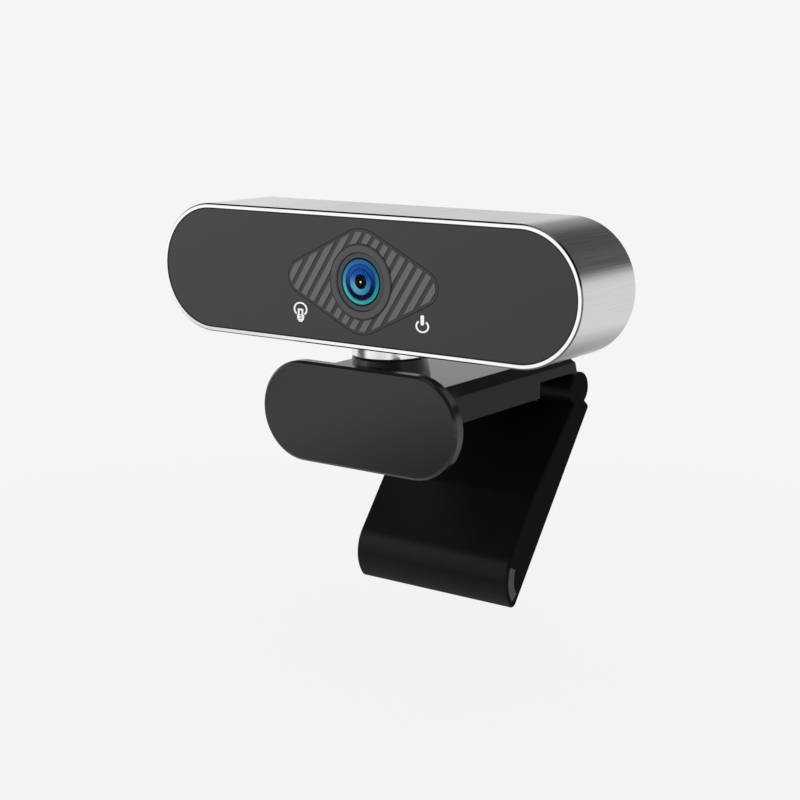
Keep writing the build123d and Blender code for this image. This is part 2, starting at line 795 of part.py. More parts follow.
# Brass insert for a tripod screw, open at the arm's underside
with BuildPart() as tripod_insert:
    with BuildSketch(Plane.XY.offset(arm_bottom)):
        with Locations((0, insert_reach)):
            Circle(insert_radius)
            Circle(insert_bore_radius, mode=Mode.SUBTRACT)
    extrude(amount=roof_under - arm_bottom)

# Lip plate with two bosses through the arm's front wall
with BuildPart() as lip_plate:
    with BuildSketch(lip_face):
        SlotOverall(lip_width, lip_height)
    extrude(amount=-lip_thickness)
    chamfer(lip_plate.faces().sort_by(Axis.Y)[0].edges(), lip_edge)
    with BuildSketch(Plane.XZ.offset(-lip_back)):
        with Locations((-lip_boss_spread, lip_boss_z), (lip_boss_spread, lip_boss_z)):
            Circle(lip_boss_radius)
    extrude(amount=-arm_wall)
    with BuildSketch(Plane.XZ.offset(-pocket_front)):
        with Locations((-lip_boss_spread, lip_boss_z), (lip_boss_spread, lip_boss_z)):
            Circle(screw_pilot)
    extrude(amount=arm_wall + lip_screw_bite, mode=Mode.SUBTRACT)

# Screws from inside the arm into the lip's bosses
with BuildPart(Plane.XZ.offset(-pocket_front)) as lip_screws:
    with Locations((-lip_boss_spread, lip_boss_z), (lip_boss_spread, lip_boss_z)):
        Cylinder(screw_head_radius, screw_head_height, align=to_top)
        Cylinder(screw_radius, arm_wall + lip_screw_bite, align=from_base)

# Rubber pad behind the lip
with BuildPart() as lip_pad:
    with BuildSketch(Plane.XZ.offset(-lip_back)):
        with Locations((0, arm_bottom - lip_pad_drop - lip_pad_height / 2)):
            RectangleRounded(lip_pad_width, lip_pad_height, lip_pad_corner)
    extrude(amount=-lip_pad_thickness)

# Leg: side profile with a rounded heel and a quarter-round foot, two knuckles, a rear pocket and a pad slot
with BuildPart() as leg_shell:
    with BuildSketch(leg_side) as leg_profile:
        with BuildLine():
            foot = CenterArc((foot_centre, -leg_back), foot_radius, 0, 90)
            Polyline(
                foot @ 1,
                (leg_swell_end, leg_swell),
                (leg_shoulder, 0),
                (leg_heel, 0),
                (leg_heel, -leg_back),
                foot @ 0,
            )
        make_face()
        fillet(leg_profile.vertices().group_by(Axis.X)[0].sort_by(Axis.Y)[0], leg_heel_round)
        fillet(leg_profile.vertices().sort_by(Axis.X)[-1], leg_tip_round)
        Circle(knuckle_radius)
    extrude(amount=leg_width / 2, both=True)
    fillet(leg_shell.faces().group_by(Axis.X)[-1].edges(), leg_edge_round)
    fillet(leg_shell.faces().group_by(Axis.X)[0].edges(), leg_edge_round)
    with BuildSketch(leg_side):
        Circle(knuckle_radius + knuckle_clearance)
    extrude(amount=leg_gap_half, both=True, mode=Mode.SUBTRACT)
    with BuildSketch(Plane.YZ.offset(-leg_width / 2)):
        with Locations((hinge_y, hinge_z)):
            Circle(pin_radius + press_fit)
    extrude(amount=leg_width - pin_end_wall, mode=Mode.SUBTRACT)
    with BuildSketch(leg_rear):
        with Locations((0, leg_cover_middle)):
            RectangleRounded(leg_cover_width, leg_cover_length, leg_cover_corner)
    extrude(amount=-leg_cover_thickness, mode=Mode.SUBTRACT)
    with BuildSketch(leg_rear):
        with Locations((0, leg_cover_middle)):
            Rectangle(leg_cover_width - 2 * leg_ledge, leg_cover_length - 2 * leg_ledge)
    extrude(amount=-leg_pocket_depth, mode=Mode.SUBTRACT)
    with BuildSketch(leg_rear.offset(-leg_cover_thickness)):
        with Locations((0, leg_cover_middle)):
            with GridLocations(0, leg_boss_pitch, 1, 2):
                Circle(leg_boss_radius)
    extrude(amount=leg_cover_thickness - leg_pocket_depth)
    with BuildSketch(leg_rear.offset(-leg_cover_thickness)):
        with Locations((0, leg_cover_middle)):
            with GridLocations(0, leg_boss_pitch, 1, 2):
                Circle(screw_pilot)
    extrude(amount=-leg_screw_bite, mode=Mode.SUBTRACT)
    with BuildSketch(leg_side):
        draw_foot_band(foot_pad_gap)
    extrude(amount=leg_width / 2, both=True, mode=Mode.SUBTRACT)

# Back cover of the leg, flush with its back
with BuildPart() as leg_cover:
    with BuildSketch(leg_rear):
        with Locations((0, leg_cover_middle)):
            RectangleRounded(leg_lid_width, leg_lid_length, leg_cover_corner)
            with GridLocations(0, leg_boss_pitch, 1, 2):
                Circle(screw_hole_radius, mode=Mode.SUBTRACT)
    extrude(amount=-leg_cover_thickness)
    with BuildSketch(leg_rear):
        with Locations((0, leg_cover_middle)):
            with GridLocations(0, leg_boss_pitch, 1, 2):
                Circle(screw_head_hole)
    extrude(amount=-flush_head_height, mode=Mode.SUBTRACT)

# Screws of the leg's cover, flush with its back
with BuildPart(leg_rear.offset(-flush_head_height)) as leg_cover_screws:
    with Locations((0, leg_cover_middle)):
        with GridLocations(0, leg_boss_pitch, 1, 2):
            Cylinder(screw_head_radius, flush_head_height, align=from_base)
            Cylinder(screw_radius, leg_cover_thickness - flush_head_height + leg_screw_bite, align=to_top)

# Soft rubber core that slides in under the foot's skin
with BuildPart() as foot_pad:
    with BuildSketch(leg_side):
        draw_foot_band(0)
    extrude(amount=leg_width / 2, both=True)
    arcs = foot_pad.edges().filter_by(GeomType.CIRCLE)
    fillet(arcs.group_by(SortBy.RADIUS)[-1], leg_edge_round)

# Hinge pin, put in from the left and stopped by the right knuckle's end wall
with BuildPart() as hinge_pin:
    with BuildSketch(Plane.YZ.offset(pin_recess - leg_width / 2)):
        with Locations((hinge_y, hinge_z)):
            Circle(pin_radius)
    extrude(amount=leg_width - pin_recess - pin_end_wall - press_fit)

# Friction washers on both sides of the middle knuckle
with BuildPart() as hinge_washers:
    with BuildSketch(Plane.YZ.offset(knuckle_half_width + hinge_washer_gap)):
        with Locations((hinge_y, hinge_z)):
            Circle(hinge_washer_radius)
            Circle(pin_radius + running_fit, mode=Mode.SUBTRACT)
    extrude(amount=hinge_washer_thickness)
    mirror(about=Plane.YZ)

# Each piece gets its name and its own file
pieces = {
    "body_shell": body_shell,
    "front_panel": front_panel,
    "lens_plate": lens_plate,
    "lens_ring": lens_ring,
    "lens_barrel": lens_barrel,
    "lens_front_glass": lens_front_glass,
    "lens_stop": lens_stop,
    "lens_rear_glass": lens_rear_glass,
    "lens_holder": lens_holder,
    "lens_holder_screws": lens_holder_screws,
    "ir_filter": ir_filter,
    "image_sensor": image_sensor,
    "main_board": main_board,
    "board_chips": board_chips,
    "board_screws": board_screws,
    "board_connector": board_connector,
    "indicator_leds": indicator_leds,
    "light_guides": light_guides,
    "rear_cover": rear_cover,
    "cover_screws": cover_screws,
    "cable_gland": cable_gland,
    "swivel_disc": swivel_disc,
    "swivel_bracket": swivel_bracket,
    "swivel_bolt": swivel_bolt,
    "swivel_nut": swivel_nut,
    "neck_collar": neck_collar,
    "friction_washer": friction_washer,
    "spring_washer": spring_washer,
    "arm_shell": arm_shell,
    "arm_bottom_cover": arm_bottom_cover,
    "arm_cover_screws": arm_cover_screws,
    "rest_pad": rest_pad,
    "tripod_insert": tripod_insert,
    "lip_plate": lip_plate,
    "lip_screws": lip_screws,
    "lip_pad": lip_pad,
    "leg_shell": leg_shell,
    "leg_cover": leg_cover,
    "leg_cover_screws": leg_cover_screws,
    "foot_pad": foot_pad,
    "hinge_pin": hinge_pin,
    "hinge_washers": hinge_washers,
}
for name, piece in pieces.items():
    piece.part.label = name
    export_step(piece.part, f"parts/{name}.step")
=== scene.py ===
"""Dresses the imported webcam: a finish on every part, finer pieces where one is plain, and a pale studio."""
import json
from math import asin, cos, pi, radians, sin
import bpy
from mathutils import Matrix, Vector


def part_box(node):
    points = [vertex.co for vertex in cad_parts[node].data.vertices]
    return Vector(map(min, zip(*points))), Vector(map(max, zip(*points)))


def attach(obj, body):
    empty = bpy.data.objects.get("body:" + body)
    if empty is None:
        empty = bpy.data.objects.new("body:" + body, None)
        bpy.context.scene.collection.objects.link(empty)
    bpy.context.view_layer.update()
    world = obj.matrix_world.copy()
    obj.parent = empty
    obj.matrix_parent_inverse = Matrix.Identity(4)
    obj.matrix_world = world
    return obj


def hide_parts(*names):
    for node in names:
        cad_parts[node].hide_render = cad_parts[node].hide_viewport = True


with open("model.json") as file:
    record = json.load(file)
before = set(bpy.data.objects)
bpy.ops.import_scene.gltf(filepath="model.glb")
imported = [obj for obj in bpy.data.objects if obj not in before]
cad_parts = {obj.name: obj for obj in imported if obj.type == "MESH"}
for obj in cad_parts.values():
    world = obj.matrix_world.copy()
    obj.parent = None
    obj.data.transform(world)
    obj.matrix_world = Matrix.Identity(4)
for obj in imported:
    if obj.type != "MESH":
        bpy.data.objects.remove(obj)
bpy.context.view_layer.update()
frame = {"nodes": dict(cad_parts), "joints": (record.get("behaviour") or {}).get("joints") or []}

from types import SimpleNamespace

import bmesh
import bpy
from bpy.props import FloatProperty, FloatVectorProperty, PointerProperty
from mathutils import Matrix, Vector

bl_info = {
    "name": "Webcam with a folding clip",
    "version": (1, 0, 0),
    "blender": (4, 5, 0),
    "location": "View3D > Sidebar > Webcam",
    "description": "Adds the finishes, the small pieces and the studio of a webcam on a monitor clip",
    "category": "Object",
}

MM = 0.001
INWARDS = Vector((0, 1, 0))
UP = Vector((0, 0, 1))

# How finely round shapes are drawn, and how near in millimetres points count as one or as level
ROUND_STEPS = 64
DOME_STEPS = 10
THREAD_STEPS = 32
FOOT_STEPS = 32
ARC_STEP_DEGREES = 6
SHARP_ANGLE = radians(32)
CUT_LIMIT = 1e-5
TOUCH = 1e-4
NEAR = 1e-3


def corners(part):
    """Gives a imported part's lowest and highest corners in millimetres."""
    return [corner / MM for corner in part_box(part)]


def half_width(part):
    """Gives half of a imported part's width in millimetres."""
    low, high = corners(part)
    return (high.x - low.x) / 2


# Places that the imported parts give, in millimetres
GLASS_LOW, GLASS_HIGH = corners("lens_front_glass")
PANEL_LOW, PANEL_HIGH = corners("front_panel")
LENS_MIDDLE = (GLASS_LOW + GLASS_HIGH) / 2
GLASS_RADIUS = half_width("lens_front_glass")
RING_RADIUS = half_width("lens_ring")
BARREL_RADIUS = half_width("lens_barrel")
SLEEVE_FRONT = corners("body_shell")[0].y
PANEL_FRONT = PANEL_LOW.y
LENS_ORIGIN = Vector((LENS_MIDDLE.x, SLEEVE_FRONT, LENS_MIDDLE.z))
HINGE = Vector(next(joint["pos_m"] for joint in frame["joints"] if joint["name"] == "leg_fold")) / MM

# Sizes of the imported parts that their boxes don't give, in millimetres
LEG_TILT = radians(38.2)
LEG_ALONG = Vector((0, -sin(LEG_TILT), -cos(LEG_TILT)))
LEG_OUT = Vector((0, -cos(LEG_TILT), sin(LEG_TILT)))
LEG_BACK = 6.1
LEG_SCREW_REACHES = (14.2, 34.8)
LEG_SCREW_SHANK = 2.3
FOOT_REACH = 42.3
FOOT_PAD_RADII = (5.2, 7.4)
FOOT_PAD_START = radians(14)
FOOT_PAD_SWEEP = radians(64)
FOOT_PAD_ROUND = 0.4
HEAD_RADIUS = 1.7
SHANK_RADIUS = 0.9
ROUND_HEAD, ROUND_HEAD_CROWN = 1.0, 0.5
FLUSH_HEAD, FLUSH_HEAD_CROWN = 0.7, 0.15
PAD_CORNER = 2.0
GLAND_BORE = 1.9
GLAND_NECK = 3.2
GLAND_FLANGE = 0.9
GLAND_NOSE = 1.8
INSERT_BORE = 2.55

# Patches of a finish's wandering colour and roughness, in grains
PATCH_GRAINS = 25
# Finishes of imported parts: material, colour or the name of one that the user can change, grain and its
# depth in millimetres, roughness, other settings, and the parts that wear it
FINISHES = (
    # ABS from a polished mould: a black skin that mirrors the floor softly
    ("black_abs", "clip", 0.35, 0.001, 0.16, {"IOR": 1.5}, ["lip_plate"]),
    # The same, deeper in colour, with sides that were left matt in the mould
    ("deep_black_abs", "leg", 0.35, 0.001, 0.16, {"IOR": 1.5, "sides": ("arm_shell", 0.75)},
     ["arm_shell", "arm_bottom_cover"]),
    # ABS with a soft-touch coat: it drinks light, and shows a faint broad sheen on its curves
    ("soft_touch_abs", "leg", 0.3, 0.003, 0.34,
     {"IOR": 1.5, "Specular_IOR_Level": 0.14, "sides": ("leg_shell", 1.0)}, ["leg_shell", "leg_cover"]),
    # ABS with a thin gloss: black, with a narrow glint
    ("gloss_abs", "leg", 0.3, 0.001, 0.2, {"IOR": 1.5, "Specular_IOR_Level": 0.3}, ["neck_collar"]),
    # ABS from an etched mould: dark and dull, with a grain that the finger feels
    ("textured_abs", "cover", 0.35, 0.02, 0.5, {"IOR": 1.5}, ["rear_cover"]),
    # Moulded rubber: dark grey with a dusty, even look
    ("solid_rubber", "rubber", 0.25, 0.015, 0.7, {"IOR": 1.52},
     ["rest_pad", "lip_pad", "foot_pad", "cable_gland"]),
    # Moulded polycarbonate: dark blue-grey, satin
    ("black_polycarbonate", "#2c373a", 0.2, 0.002, 0.4, {"IOR": 1.58},
     ["lens_barrel", "lens_stop", "lens_holder"]),
    # Polished filter glass: smooth, with a cold blue cast
    ("blue_filter_glass", "#5a86a8", 0.5, 0.0, 0.05, {"IOR": 1.52},
     ["lens_rear_glass", "ir_filter", "lens_front_glass"]),
    # Polished acrylic: nearly white, with a wet shine
    ("clear_acrylic", "#e8ecec", 0.6, 0.002, 0.15, {"IOR": 1.49}, ["light_guides"]),
    # Solder mask over copper: green, uneven where tracks run under it
    ("green_solder_mask", "#1c5a34", 0.4, 0.01, 0.35, {"IOR": 1.55, "spread": 0.2}, ["main_board"]),
    # Moulded epoxy of chips: charcoal and dull
    ("moulded_epoxy", "#1d1d1f", 0.15, 0.003, 0.6, {"IOR": 1.55}, ["board_chips", "image_sensor"]),
    # Undyed nylon: warm white, waxy
    ("natural_nylon", "#e3dcc8", 0.3, 0.003, 0.45, {"IOR": 1.53}, ["board_connector"]),
    # Cast resin of lights: pale yellow and smooth
    ("led_resin", "#efe9c9", 0.3, 0.002, 0.3, {"IOR": 1.5}, ["indicator_leds"]),
    # Undyed acetal: milky and slippery
    ("natural_acetal", "#e0ded6", 0.3, 0.003, 0.4, {"IOR": 1.48}, ["friction_washer"]),
    # Polished chrome plate: a near mirror with hardly any colour of its own
    ("chrome_plate", "#f0f1f2", 0.5, 0.0005, 0.1, {"Metallic": 1.0, "spread": 0.02}, ["swivel_disc"]),
    # Turned brass: warm yellow metal with a fine shine
    ("turned_brass", "#d8b25f", 0.3, 0.003, 0.25, {"Metallic": 1.0}, ["tripod_insert"]),
)

# Printed symbols in millimetres, drawn as high as wide and then flattened
SYMBOL_FLATNESS = 0.81
BULB_SHIFT = Vector((-0.29, 0, 0.46))
BULB_ARC = (-50, 280)
POWER_SHIFT = Vector((-0.26, 0, -0.25))
POWER_ARC = (128, 284)
# Each bar: height over the symbol's middle, width, height, corner radius
POWER_BAR = (1.43, 0.79, 2.41, 0.3)
BULB_BARS = (
    (-0.11, 1.5, 0.42, 0.15),
    (-1.475, 1.9, 0.21, 0.06),
    (-1.98, 1.8, 0.36, 0.1),
    (-2.58, 1.66, 0.4, 0.18),
    (-2.97, 1.0, 0.36, 0.16),
)
# Bars on both sides of the bulb's middle, each after its distance across: filament legs, sides of the cap
BULB_PAIRS = (
    (0.47, (-0.845, 0.42, 1.03, 0.02)),
    (0.66, (-1.69, 0.48, 0.2, 0.02)),
    (0.66, (-2.27, 0.48, 0.2, 0.02)),
)

# Lens in millimetres: the front glass, and radius and depth of each step of the rings under it
FRONT_GLASS_RISE = 0.23
FRONT_GLASS_RIM_WALL = 0.06
FRONT_GLASS_CROWN_WALL = 0.08
PUPIL_RADIUS = 1.4
PUPIL_RIM, PUPIL_CROWN = 0.14, 0.04
RING_STEPS = ((2.1, -0.07), (2.6, -0.03), (2.64, 0.05), (3.5, 0.08), (3.54, 0.02), (4.3, 0.08))
RING_START, RING_END = 0.02, 0.1
# Painted light and shade on the lens rings: warmer and brighter at the left than at the right
LEFT_PAINTED_LIGHT = (2.9, 1.5, 1.3, 1.0)
RIGHT_PAINTED_SHADE = (0.75, 0.95, 0.95, 1.0)

# Studio, in metres
WHITE = (1.0, 1.0, 1.0, 1.0)
WALL_SHADE = (0.82, 0.82, 0.82, 1.0)
WORLD_STRENGTH = 0.55
FLOOR_HEIGHT = -0.075
FLOOR_RADIUS = 6.0
# Height over the horizon in the mirrored room, which leans a little, and the way to its black card
ROOM_UP = (0.06, 0.0, 1.0)
BLACK_CARD_WAY = (0.02, 0.79, 0.61)
# Painted shade on the floor, seen only in gloss: place, radius of the even middle, outer radius, brightness
FLOOR_PAINTED_SHADE = (
    # Each patch is a painted dark reflection in the parts, and the last is the part's own painted shadow
    ((0.03, -0.25), 0.16, 0.25, 0.2),  # keeps the lip dark
    ((-0.46, -0.25), 0.10, 0.22, 0.12),  # a band at the left of the chrome disc
    ((0.41, -0.33), 0.03, 0.15, 0.35),  # a band at its right
    ((-0.04, 0.11), 0.06, 0.15, 0.3),  # shades the underside of the sleeve
)
# Lamps: name, place, width, watts, and whether gloss mirrors them
LAMPS = (
    ("key_lamp", (0.40, -0.50, 0.55), 0.5, 2.6, False),
    ("fill_lamp", (-0.60, -0.55, 0.30), 0.4, 0.9, True),
)
LAMP_TARGET = Vector((0, 0, 0.005))
CAMERA_PLACE = (0.1884, -0.2584, 0.06935)
CAMERA_TURN = (radians(78.16), 0, radians(35.72))
CAMERA_LENS = 71.97
CAMERA_SENSOR = 36.0


def linear(hex_colour):
    """Turns an sRGB hex colour into linear red, green, blue and alpha."""
    parts = [int(hex_colour[i:i + 2], 16) / 255 for i in (1, 3, 5)]
    return tuple(c / 12.92 if c <= 0.04045 else ((c + 0.055) / 1.055) ** 2.4 for c in parts) + (1.0,)


def size(name, description, millimetres):
    """A length that the user can change. Its default is given in millimetres."""
    return FloatProperty(
        name=name, description=description, default=millimetres * MM, min=0.0, precision=5, unit="LENGTH"
    )


def colour(name, description, hex_colour):
    """A colour that the user can change, given as sRGB hex."""
    return FloatVectorProperty(
        name=name, description=description, default=linear(hex_colour), size=4, min=0.0, max=1.0,
        subtype="COLOR",
    )


class WebcamSizes(bpy.types.PropertyGroup):
    """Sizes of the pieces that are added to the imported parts."""

    symbol_stroke: size("Symbol stroke", "Width of the printed lines", 0.4)
    symbol_rise: size("Symbol rise", "How far the print stands on the panel", 0.04)
    symbol_spread: size("Symbol spread", "How far each symbol is from the lens axis", 14.9)
    symbol_drop: size("Symbol drop", "How far the symbols are below the lens axis", 7.1)
    bulb_radius: size("Bulb radius", "Outer radius of the light bulb symbol", 1.78)
    power_radius: size("Power radius", "Outer radius of the power symbol", 1.58)
    recess_width: size("Recess width", "Width of one slot of a screw's cross recess", 0.42)
    recess_depth: size("Recess depth", "Depth of a screw's cross recess", 0.45)
    groove_pitch: size("Groove pitch", "Distance between the grooves of a rubber pad", 1.3)
    groove_width: size("Groove width", "Width of the grooves of a rubber pad", 0.55)
    groove_depth: size("Groove depth", "Depth of the grooves of a rubber pad", 0.25)
    thread_pitch: size("Thread pitch", "Pitch of the tripod thread", 1.27)
    thread_height: size("Thread height", "Height of the tripod thread over its minor radius", 0.55)


class WebcamColours(bpy.types.PropertyGroup):
    """Colours of the finishes and the studio."""

    sleeve: colour("Sleeve", "Brushed aluminium of the head", "#e6e6e8")
    rim: colour("Rim", "Bright rim round the front panel", "#fbfbfb")
    # The chamfer's dark grey is a painted dark reflection on the metal
    chamfer: colour("Chamfer", "Narrow chamfer round the bright rim", "#727274")
    panel: colour("Panel", "Front panel", "#2e2e30")
    rib: colour("Rib", "Tops of the ribs round the lens", "#5f5f61")
    ring: colour("Ring", "Bezel round the lens", "#454547")
    clip: colour("Clip", "Black plastic of the lip", "#18181a")
    leg: colour("Leg", "Deep black plastic of the arm, the neck and the leg", "#0c0c0d")
    cover: colour("Cover", "Textured plastic of the rear cover", "#1c1c1d")
    rubber: colour("Rubber", "Soft pads and the cable gland", "#3a3a3b")
    ink: colour("Ink", "Printed symbols", "#ffffff")
    # The lens colours are painted reflections, as a coated lens shows them
    navy: colour("Navy", "Dark rings of the coated lens", "#030a2a")
    blue: colour("Blue", "Bright rings of the coated lens", "#0e4690")
    sky: colour("Sky", "Pale blue rings of the coated lens", "#3886aa")
    teal: colour("Teal", "Outer ring of the coated lens", "#35a098")
    backdrop: colour("Backdrop", "Floor and background", "#f5f5f5")


def in_millimetres(group):
    """Gives a group of sizes as plain numbers in millimetres."""
    return SimpleNamespace(**{name: getattr(group, name) / MM for name in group.__annotations__})


def add_node(tree, kind, inputs=None, **settings):
    """Adds a node with its settings. An input is a value, or another node's output to link from."""
    node = tree.nodes.new(kind)
    for name, value in settings.items():
        setattr(node, name, value)
    for name, value in (inputs or {}).items():
        if isinstance(value, bpy.types.NodeSocket):
            tree.links.new(value, node.inputs[name])
        else:
            node.inputs[name].default_value = value
    return node


def add_vector(tree, operation, *inputs):
    """Adds arithmetic with vectors, and returns its outputs."""
    return add_node(tree, "ShaderNodeVectorMath", dict(enumerate(inputs)), operation=operation).outputs


def add_range(tree, value, start, end, low=0.0, high=1.0, **settings):
    """Adds a number that goes from low to high as a value goes from start to end. Returns its output."""
    return add_node(tree, "ShaderNodeMapRange", {
        "Value": value, "From Min": start, "From Max": end, "To Min": low, "To Max": high,
    }, **settings).outputs[0]


def add_ramp(tree, value, stops):
    """Adds colours for a value, as pairs of position and linear colour, and returns their output."""
    ramp = add_node(tree, "ShaderNodeValToRGB", {"Fac": value})
    elements = ramp.color_ramp.elements
    while len(elements) < len(stops):
        elements.new(1.0)
    for element, (position, shade) in zip(elements, stops):
        element.position = position
        element.color = shade
    return ramp.outputs[0]


def add_fade(tree, value, start, end, before, after, **settings):
    """Adds a fade from one colour to another as a value goes from start to end, and returns its output."""
    share = add_range(tree, value, start, end, **settings)
    return add_node(tree, "ShaderNodeMix", {0: share, 6: before, 7: after}, data_type="RGBA").outputs[2]


def fade_over(tree, socket, value, start, end, after):
    """Fades what feeds a socket to another colour as a value goes from start to end."""
    tree.links.new(add_fade(tree, value, start, end, socket.links[0].from_socket, after), socket)


def start_material(name, shader_inputs):
    """Makes a material with one Principled shader. Returns it, its tree, shader and object coordinates."""
    material = bpy.data.materials.new(name)
    material.use_nodes = True
    tree = material.node_tree
    tree.nodes.clear()
    shader = add_node(tree, "ShaderNodeBsdfPrincipled", shader_inputs)
    add_node(tree, "ShaderNodeOutputMaterial", {"Surface": shader.outputs[0]})
    place = add_node(tree, "ShaderNodeTexCoord").outputs["Object"]
    return material, tree, shader, place


def start_finish(name, shade, grain, depth, roughness, spread=0.06, **shader_inputs):
    """Starts a material with a grain in millimetres, and a colour and roughness that wander by a share."""
    inputs = {socket.replace("_", " "): value for socket, value in shader_inputs.items()}
    material, tree, shader, place = start_material(name, inputs)
    fine = add_node(tree, "ShaderNodeTexNoise", {"Vector": place, "Scale": 1 / (grain * MM), "Detail": 3.0})
    bump = add_node(tree, "ShaderNodeBump", {"Distance": depth * MM, "Height": fine.outputs[0]})
    patches = add_node(tree, "ShaderNodeTexNoise", {
        "Vector": place, "Scale": 1 / (PATCH_GRAINS * grain * MM), "Detail": 4.0,
    }).outputs[0]
    rough = add_range(tree, patches, 0.3, 0.7, roughness * (1 - spread), roughness * (1 + spread))
    low = tuple(c * (1 - spread) for c in shade[:3]) + (1.0,)
    high = tuple(min(c * (1 + spread), 1.0) for c in shade[:3]) + (1.0,)
    tint = add_ramp(tree, patches, [(0.3, low), (0.7, high)])
    tree.links.new(bump.outputs[0], shader.inputs["Normal"])
    tree.links.new(rough, shader.inputs["Roughness"])
    tree.links.new(tint, shader.inputs["Base Color"])
    return material, tree, shader, place


def make_finish(name, shade, grain, depth, roughness, sides=None, **others):
    """Makes a moulded, cast or plated finish. Sides name a part, and the roughness of its flat sides."""
    material, tree, shader, place = start_finish(name, shade, grain, depth, roughness, **others)
    if sides:
        part, matt = sides
        edge = corners(part)[1].x
        split = add_node(tree, "ShaderNodeSeparateXYZ", {"Vector": place})
        across = add_node(tree, "ShaderNodeMath", {0: split.outputs["X"]}, operation="ABSOLUTE").outputs[0]
        rough = shader.inputs["Roughness"].links[0].from_socket
        dull = add_range(tree, across, (edge - 0.12) * MM, (edge - 0.06) * MM, rough, matt)
        tree.links.new(dull, shader.inputs["Roughness"])
    return material


def make_sleeve_finish(colours):
    """Makes brushed, clear anodised aluminium: fine lines along the depth, a painted dark reflection on the
    chamfer, and a bright cut rim in front.
    """
    material, tree, shader, place = start_material("brushed_aluminium", {"Metallic": 1.0})
    # Real brush lines are 0.05 mm apart. They are drawn 0.3 mm apart and 18 mm long, so that they show.
    stretched = add_node(tree, "ShaderNodeMapping", {"Vector": place, "Scale": (3300.0, 55.0, 3300.0)})
    lines = add_node(tree, "ShaderNodeTexNoise", {
        "Vector": stretched.outputs[0], "Scale": 1.0, "Detail": 2.0,
    }).outputs[0]
    bump = add_node(tree, "ShaderNodeBump", {"Distance": 0.004 * MM, "Height": lines})
    rough = add_range(tree, lines, 0.3, 0.7, 0.19, 0.26)
    dim = tuple(c * 0.9 for c in colours.sleeve)
    satin = add_ramp(tree, lines, [(0.25, dim), (0.75, colours.sleeve)])
    # The diamond-cut chamfer is 0.3 mm deep and painted dark grey as a painted reflection; the flat rim in
    # front of it is cut bright
    along = add_node(tree, "ShaderNodeSeparateXYZ", {"Vector": place}).outputs["Y"]
    cut_start, cut_end, rim_start, rim_end = (
        (SLEEVE_FRONT + depth) * MM for depth in (0.32, 0.28, 0.06, 0.02)
    )
    edge = add_fade(tree, along, cut_start, cut_end, satin, colours.chamfer)
    shade = add_fade(tree, along, rim_start, rim_end, edge, colours.rim)
    gloss = add_range(tree, along, cut_start, cut_end, rough, 0.12)
    tree.links.new(bump.outputs[0], shader.inputs["Normal"])
    tree.links.new(shade, shader.inputs["Base Color"])
    tree.links.new(gloss, shader.inputs["Roughness"])
    return material


def add_radius(tree, place):
    """Adds nodes that give the flat way from the lens axis, and returns it and its length in metres."""
    moved = add_vector(tree, "SUBTRACT", place, LENS_ORIGIN * MM)[0]
    flat = add_vector(tree, "MULTIPLY", moved, (1.0, 0.0, 1.0))[0]
    return flat, add_vector(tree, "LENGTH", flat)["Value"]


def add_painted_joint_shade(tree, shader, away, start, end):
    """Darkens a shader's colour from one distance to another, in millimetres, where a joint is in shade."""
    fade_over(tree, shader.inputs["Base Color"], away, start * MM, end * MM, linear("#0c0c0d"))


def make_panel_finish(colours):
    """Makes satin ABS with a fine even grain, and a painted shade line at its edge where it meets the sleeve.
    """
    material, tree, shader, place = start_finish(
        "satin_abs", colours.panel, grain=0.2, depth=0.002, roughness=0.42, spread=0.02, IOR=1.5
    )
    end_radius = (PANEL_HIGH.z - PANEL_LOW.z) / 2
    straight = (PANEL_HIGH.x - PANEL_LOW.x) / 2 - end_radius
    # The distance from the line between the middles of the panel's two round ends
    middle = Vector((0, 0, PANEL_LOW.z + PANEL_HIGH.z)) / 2 * MM
    for operation, *other in (
        ("SUBTRACT", middle),
        ("ABSOLUTE",),
        ("SUBTRACT", (straight * MM, 1.0, 0.0)),
        ("MAXIMUM", (0.0, 0.0, 0.0)),
    ):
        place = add_vector(tree, operation, place, *other)[0]
    away = add_vector(tree, "LENGTH", place)["Value"]
    add_painted_joint_shade(tree, shader, away, end_radius - 0.22, end_radius - 0.14)
    return material


def make_ring_finish(colours):
    """Makes a painted bezel with a painted shade line where the lens tube meets it."""
    material, tree, shader, place = start_finish(
        "painted_bezel", colours.ring, grain=0.15, depth=0.002, roughness=0.4, spread=0.04, IOR=1.5
    )
    add_painted_joint_shade(tree, shader, add_radius(tree, place)[1], BARREL_RADIUS + 0.15, BARREL_RADIUS + 0.12)
    return material


def make_plate_finish(colours):
    """Makes the ribbed ABS inlay: dark like the panel, paler ribs, and a painted shade line round the bezel.
    """
    material, tree, shader, place = start_finish(
        "painted_abs", colours.panel, grain=0.2, depth=0.003, roughness=0.45, spread=0.03, IOR=1.5
    )
    along = add_node(tree, "ShaderNodeSeparateXYZ", {"Vector": place}).outputs["Y"]
    paint_start, paint_end = ((PANEL_FRONT - rise) * MM for rise in (0.06, 0.09))
    fade_over(tree, shader.inputs["Base Color"], along, paint_start, paint_end, colours.rib)
    add_painted_joint_shade(tree, shader, add_radius(tree, place)[1], RING_RADIUS + 0.3, RING_RADIUS + 0.2)
    return material


